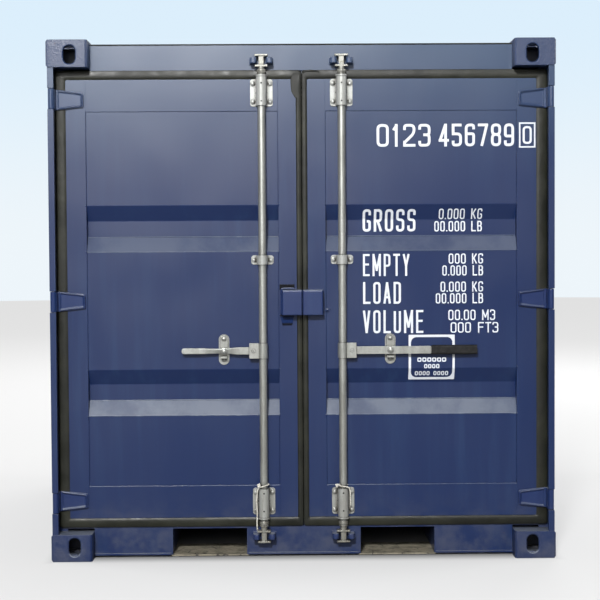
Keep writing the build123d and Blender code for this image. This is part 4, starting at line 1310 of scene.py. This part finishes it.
panel = {
    "face": -1.138,
    "stileFace": -1.141,
    "edge": 0.941,  # the panel ends here and the stile begins
    "grooveDepth": 0.036,
    "grooveSlope": 0.065,
    "grooveFloor": 0.072,
    "grooveLevels": (0.7275, 1.446),
    "filmLift": 0.0012,
}
lettering = {
    "rows": [
        # text, left, right, low, high
        ("0123", 0.328, 0.564, 1.799, 1.898),
        ("456789", 0.600, 0.930, 1.799, 1.898),
        ("0", 0.967, 1.007, 1.808, 1.886),
        ("GROSS", 0.267, 0.500, 1.429, 1.527),
        ("0.000 KG", 0.602, 0.793, 1.482, 1.528),
        ("00.000 LB", 0.583, 0.793, 1.428, 1.474),
        ("EMPTY", 0.266, 0.470, 1.234, 1.331),
        ("000 KG", 0.642, 0.793, 1.286, 1.331),
        ("0.000 LB", 0.614, 0.793, 1.234, 1.279),
        ("LOAD", 0.266, 0.432, 1.112, 1.208),
        ("0.000 KG", 0.606, 0.793, 1.163, 1.208),
        ("00.000 LB", 0.585, 0.793, 1.112, 1.157),
        ("VOLUME", 0.265, 0.530, 0.983, 1.084),
        ("00.00 M3", 0.640, 0.846, 1.038, 1.084),
        ("000 FT3", 0.650, 0.860, 0.983, 1.029),
    ],
    "checkBox": (0.951, 1.023, 1.792, 1.902),
    "boxLine": 0.0065,
    "strokeShare": 0.119,  # of a letter's height
    "cellShare": 0.30,  # and never more than this of its width
    "gapShare": 0.130,
    "roundShare": 0.17,
    "widths": {" ": 0.75, ".": 0.22, "M": 1.25, "1": 0.7},  # against the other letters
    "layerLift": 0.00004,  # keeps crossing lines of one letter apart
}
strokes = {
    # lines on a letter one wide and one high; a path that ends where it starts is closed
    "0": [[(0, 0), (1, 0), (1, 1), (0, 1), (0, 0)]],
    "1": [[(0.55, 0), (0.55, 1)], [(0.55, 0.98), (0.15, 0.80)]],
    "2": [[(0, 0.76), (0, 1), (1, 1), (1, 0.60), (0, 0.14)], [(0, 0.16), (0, 0)], [(0, 0), (1, 0)]],
    "3": [[(0, 0.78), (0, 1), (1, 1), (1, 0.52), (0.38, 0.52)],
          [(0.38, 0.52), (1, 0.52), (1, 0), (0, 0), (0, 0.22)]],
    "4": [[(0.74, 0), (0.74, 1)], [(0.70, 1), (0, 0.24)], [(0, 0.24), (1, 0.24)]],
    "5": [[(0, 1), (0.95, 1)], [(0, 1), (0, 0.56)], [(0, 0.56), (1, 0.56), (1, 0), (0, 0), (0, 0.22)]],
    "6": [[(1, 0.78), (1, 1), (0, 1), (0, 0), (1, 0), (1, 0.56), (0.5, 0.56)], [(0.55, 0.56), (0, 0.56)]],
    "7": [[(0, 1), (1, 1)], [(1, 0.98), (0.36, 0)]],
    "8": [[(0, 0.52), (1, 0.52), (1, 1), (0, 1), (0, 0.52)],
          [(0, 0), (1, 0), (1, 0.52), (0, 0.52), (0, 0)]],
    "9": [[(0, 0.22), (0, 0), (1, 0), (1, 1), (0, 1), (0, 0.44), (0.5, 0.44)], [(0.45, 0.44), (1, 0.44)]],
    "A": [[(0, 0), (0.5, 1)], [(1, 0), (0.5, 1)], [(0.2, 0.28), (0.8, 0.28)]],
    "B": [[(0, 0), (0, 1)], [(0, 1), (0.95, 1), (0.95, 0.53), (0, 0.53)],
          [(0, 0.53), (1, 0.53), (1, 0), (0, 0)]],
    "D": [[(0, 0), (0, 1)], [(0, 1), (1, 1), (1, 0), (0, 0)]],
    "E": [[(0, 0), (0, 1)], [(0, 1), (1, 1)], [(0, 0.53), (0.85, 0.53)], [(0, 0), (1, 0)]],
    "F": [[(0, 0), (0, 1)], [(0, 1), (1, 1)], [(0, 0.53), (0.85, 0.53)]],
    "G": [[(1, 0.76), (1, 1), (0, 1), (0, 0), (1, 0), (1, 0.46), (0.52, 0.46)]],
    "K": [[(0, 0), (0, 1)], [(1, 1), (0.06, 0.40)], [(0.32, 0.56), (1, 0)]],
    "L": [[(0, 0), (0, 1)], [(0, 0), (1, 0)]],
    "M": [[(0, 0), (0, 1)], [(0, 1), (0.5, 0.25)], [(0.5, 0.25), (1, 1)], [(1, 0), (1, 1)]],
    "O": [[(0, 0), (1, 0), (1, 1), (0, 1), (0, 0)]],
    "P": [[(0, 0), (0, 1)], [(0, 1), (1, 1), (1, 0.46), (0, 0.46)]],
    "R": [[(0, 0), (0, 1)], [(0, 1), (1, 1), (1, 0.48), (0, 0.48)], [(0.45, 0.48), (1, 0)]],
    "S": [[(1, 0.76), (1, 1), (0, 1), (0, 0.53), (1, 0.53), (1, 0), (0, 0), (0, 0.24)]],
    "T": [[(0, 1), (1, 1)], [(0.5, 0), (0.5, 1)]],
    "U": [[(0, 1), (0, 0), (1, 0), (1, 1)]],
    "V": [[(0, 1), (0.5, 0)], [(1, 1), (0.5, 0)]],
    "Y": [[(0, 1), (0.5, 0.45)], [(1, 1), (0.5, 0.45)], [(0.5, 0), (0.5, 0.47)]],
    ".": [[(0.5, 0), (0.5, 0.015)]],
}


def panelDepth(place):
    if place.x > panel["edge"]:
        return panel["stileFace"]
    for level in panel["grooveLevels"]:
        away = abs(place.z - level) - panel["grooveFloor"] / 2
        if away < panel["grooveSlope"]:
            return panel["face"] + panel["grooveDepth"] * (1 - max(away, 0) / panel["grooveSlope"])
    return panel["face"]


def layOnPanel(bm, lift):
    cuts = [((0, 0, level + way * reach), (0, 0, 1)) for level in panel["grooveLevels"] for way in (-1, 1)
            for reach in (panel["grooveFloor"] / 2, panel["grooveFloor"] / 2 + panel["grooveSlope"])]
    for place, normal in cuts:
        bmesh.ops.bisect_plane(bm, geom=bm.verts[:] + bm.edges[:] + bm.faces[:], dist=1e-6, plane_co=place,
                               plane_no=normal)
    for vertex in bm.verts:
        vertex.co.y += panelDepth(vertex.co) - lift


def addStroke(bm, path, wide, lift):
    closed = (path[0] - path[-1]).length < 1e-9
    if closed:
        path = path[:-1]
    count = len(path)
    pairs = []
    for number, point in enumerate(path):
        before = path[number - 1] if number or closed else point
        after = path[(number + 1) % count] if number < count - 1 or closed else point
        near = (point - before).normalized() if before is not point else (after - point).normalized()
        far = (after - point).normalized() if after is not point else near
        middle = (near + far).normalized()
        # sharp corners aren't drawn out past twice the width
        mitre = Vector((-middle.y, middle.x)) * wide / 2 / max(middle.dot(near), 0.5)
        pairs.append([bm.verts.new((spot.x, -lift, spot.y)) for spot in (point + mitre, point - mitre)])
    for number in range(count if closed else count - 1):
        first, second = pairs[number], pairs[(number + 1) % count]
        bm.faces.new((first[0], first[1], second[1], second[0]))


def writeRow(bm, text, left, right, low, high, look):
    tall = high - low
    gap = tall * look["gapShare"]
    sizes = look["widths"]
    units = sum(sizes.get(letter, 1.0) for letter in text)
    cell = (right - left - gap * (len(text) - 1)) / units
    wide = min(tall * look["strokeShare"], cell * look["cellShare"])
    x = left
    for letter in text:
        size = cell * sizes.get(letter, 1.0)
        for layer, line in enumerate(strokes.get(letter, [])):
            points = [Vector((x + wide / 2 + across * (size - wide), low + wide / 2 + rise * (tall - wide)))
                      for across, rise in line]
            square = any(near.x != far.x and near.y != far.y for near, far in zip(points, points[1:]))
            path = points if square and len(points) < 4 else roundedPath(points, tall * look["roundShare"])
            if len(line) == 2:  # straight strokes run on by half their width, slanting ones less
                way = (points[1] - points[0]).normalized()
                way *= wide / 2 * (1 if max(abs(way.x), abs(way.y)) > 0.999 else 0.76)
                path = [points[0] - way, points[1] + way]
            addStroke(bm, path, wide, layer * look["layerLift"])
        x += size + gap


def addStrip(bm, left, right, low, high):
    corners = [(left, low), (right, low), (right, high), (left, high)]
    bm.faces.new([bm.verts.new((x, 0, z)) for x, z in corners])


def addOutline(bm, left, right, low, high, line):
    addStrip(bm, left, right, low, low + line)
    addStrip(bm, left, right, high - line, high)
    addStrip(bm, left, left + line, low + line, high - line)
    addStrip(bm, right - line, right, low + line, high - line)


def letterDoor(facts):
    bm = bmesh.new()
    for row in facts["rows"]:
        writeRow(bm, *row, facts)
    addOutline(bm, *facts["checkBox"], facts["boxLine"])
    layOnPanel(bm, panel["filmLift"])
    finishPiece("door_lettering", bm, "right_door", letterWhite, smooth=False)


letterDoor(lettering)
print("door lettered")


# Label on the right door

label = {
    "edges": (0.465, 0.668, 0.776, 0.975),
    "border": 0.0105,
    "round": 0.024,
    "figures": [("000000", 0.503, 0.630, 0.856, 0.875), ("0000", 0.533, 0.600, 0.827, 0.846),
                ("0000 0000", 0.493, 0.640, 0.795, 0.814)],
    "corner": 0.003,
    "layer": 0.0004,
    "bold": {**lettering, "strokeShare": 0.27, "gapShare": 0.16, "roundShare": 0.20},
}


def addRounded(bm, left, right, low, high, radius, steps=8):
    outline = []
    for x, z, start in ((right - radius, high - radius, 0), (left + radius, high - radius, 90),
                        (left + radius, low + radius, 180), (right - radius, low + radius, 270)):
        for step in range(steps + 1):
            angle = math.radians(start + 90 * step / steps)
            outline.append(bm.verts.new((x + radius * math.cos(angle), 0, z + radius * math.sin(angle))))
    bm.faces.new(outline)


def stickLabel(facts):
    left, right, low, high = facts["edges"]
    edge = facts["border"]
    bm = bmesh.new()
    addRounded(bm, left, right, low, high, facts["corner"])
    layOnPanel(bm, panel["filmLift"])
    finishPiece("label_sheet", bm, "right_door", letterWhite, smooth=False)
    bm = bmesh.new()
    addRounded(bm, left + edge, right - edge, low + edge, high - edge, facts["round"])
    layOnPanel(bm, panel["filmLift"] + facts["layer"])
    finishPiece("label_field", bm, "right_door", finishes["navy_paint"], smooth=False)
    bm = bmesh.new()
    for row in facts["figures"]:
        writeRow(bm, *row, facts["bold"])
    layOnPanel(bm, panel["filmLift"] + facts["layer"] * 2)
    finishPiece("label_figures", bm, "right_door", letterWhite, smooth=False)


stickLabel(label)
print("label stuck on")


# Studio: pale floor, pale backdrop, soft light

studio = {
    "floorHalf": 32.0,
    "floorShade": (0.24, 0.24, 0.24),
    "floorGlow": (0.49, 0.70),  # near, far
    "glowFar": (2.0, 14.0),
    "footprint": (1.10, 1.22),  # the floor under the container keeps its shade
    "footprintEdge": (-0.12, 0.05),
    "horizon": (0.850, 0.915, 0.960),
    "zenith": (0.715, 0.860, 0.975),
    "zenithAt": 0.16,
    "fill": 0.20,
    "lamps": [
        # name, place, aimed at, width, height, power
        ("key_softbox", (-1.4, -10.5, 6.0), (0, -1.2, 1.1), 0.9, 0.9, 1330),
        ("front_softbox", (-3.4, -15.0, 4.5), (0, -1.2, 2.2), 10.5, 3.4, 385),
        ("side_softbox", (8.0, -13.0, 6.0), (0, -1.2, 1.6), 5.0, 5.0, 150),
        ("back_softbox", (2.0, 8.0, 7.0), (0, 1.2, 1.0), 7.0, 4.0, 950),
        ("left_softbox", (-9.0, 1.0, 6.0), (-1.1, 0.2, 1.0), 5.0, 4.0, 720),
        ("right_softbox", (9.0, 1.0, 6.0), (1.1, 0.2, 1.0), 5.0, 4.0, 720),
    ],
}


def layFloor(facts):
    bm = bmesh.new()
    bmesh.ops.create_circle(bm, cap_ends=True, segments=96, radius=facts["floorHalf"])
    mesh = bpy.data.meshes.new("studio_floor")
    bm.to_mesh(mesh)
    bm.free()
    floor = bpy.data.objects.new("studio_floor", mesh)
    scene.collection.objects.link(floor)
    material = bpy.data.materials.new("pale_floor")
    material.use_nodes = True
    tree = material.node_tree
    shader = tree.nodes["Principled BSDF"]
    shader.inputs["Base Color"].default_value = (*facts["floorShade"], 1)
    shader.inputs["Roughness"].default_value = 0.9
    shader.inputs["Specular IOR Level"].default_value = 0.0
    shader.inputs["Emission Color"].default_value = (1, 1, 1, 1)
    rays = tree.nodes.new("ShaderNodeLightPath")
    spot = tree.nodes.new("ShaderNodeSeparateXYZ")
    wire(tree, tree.nodes.new("ShaderNodeTexCoord").outputs["Object"], spot.inputs["Vector"])
    outside = 0.0
    inner, outer = facts["footprintEdge"]
    for axis, side in zip("XY", facts["footprint"]):
        away = ranged(tree, combined(tree, "ABSOLUTE", spot.outputs[axis], 0.0), side + inner, side + outer)
        outside = combined(tree, "MAXIMUM", outside, away)
    glow = ranged(tree, spot.outputs["Y"], *facts["glowFar"], *facts["floorGlow"])
    glow = combined(tree, "MULTIPLY", rays.outputs["Is Camera Ray"], glow)
    wire(tree, combined(tree, "MULTIPLY", glow, outside), shader.inputs["Emission Strength"])
    mesh.materials.append(material)


def lightWorld(facts):
    world = bpy.data.worlds.new("soft_sky")
    scene.world = world
    world.use_nodes = True
    tree = world.node_tree
    background = tree.nodes["Background"]
    rays = tree.nodes.new("ShaderNodeLightPath")
    direction = tree.nodes.new("ShaderNodeTexCoord").outputs["Generated"]
    high = ranged(tree, heightAbove(tree, direction), 0.0, facts["zenithAt"])
    seen = mixed(tree, high, facts["horizon"], facts["zenith"])
    shown = combined(tree, "MAXIMUM", rays.outputs["Is Camera Ray"], rays.outputs["Is Transmission Ray"])
    wire(tree, mixed(tree, shown, (1.0, 1.0, 1.0), seen), background.inputs["Color"])
    wire(tree, ranged(tree, shown, 0.0, 1.0, facts["fill"], 1.0), background.inputs["Strength"])


def hangLamps(facts):
    for name, place, target, width, height, power in facts["lamps"]:
        lamp = bpy.data.lights.new(name, "AREA")
        lamp.shape = "RECTANGLE"
        lamp.size = width
        lamp.size_y = height
        lamp.energy = power
        holder = bpy.data.objects.new(name, lamp)
        aim = Vector(target) - Vector(place)
        holder.matrix_world = Matrix.Translation(place) @ aim.to_track_quat("-Z", "Y").to_matrix().to_4x4()
        scene.collection.objects.link(holder)


layFloor(studio)
lightWorld(studio)
hangLamps(studio)
scene.view_settings.view_transform = "Standard"
print("studio lit")
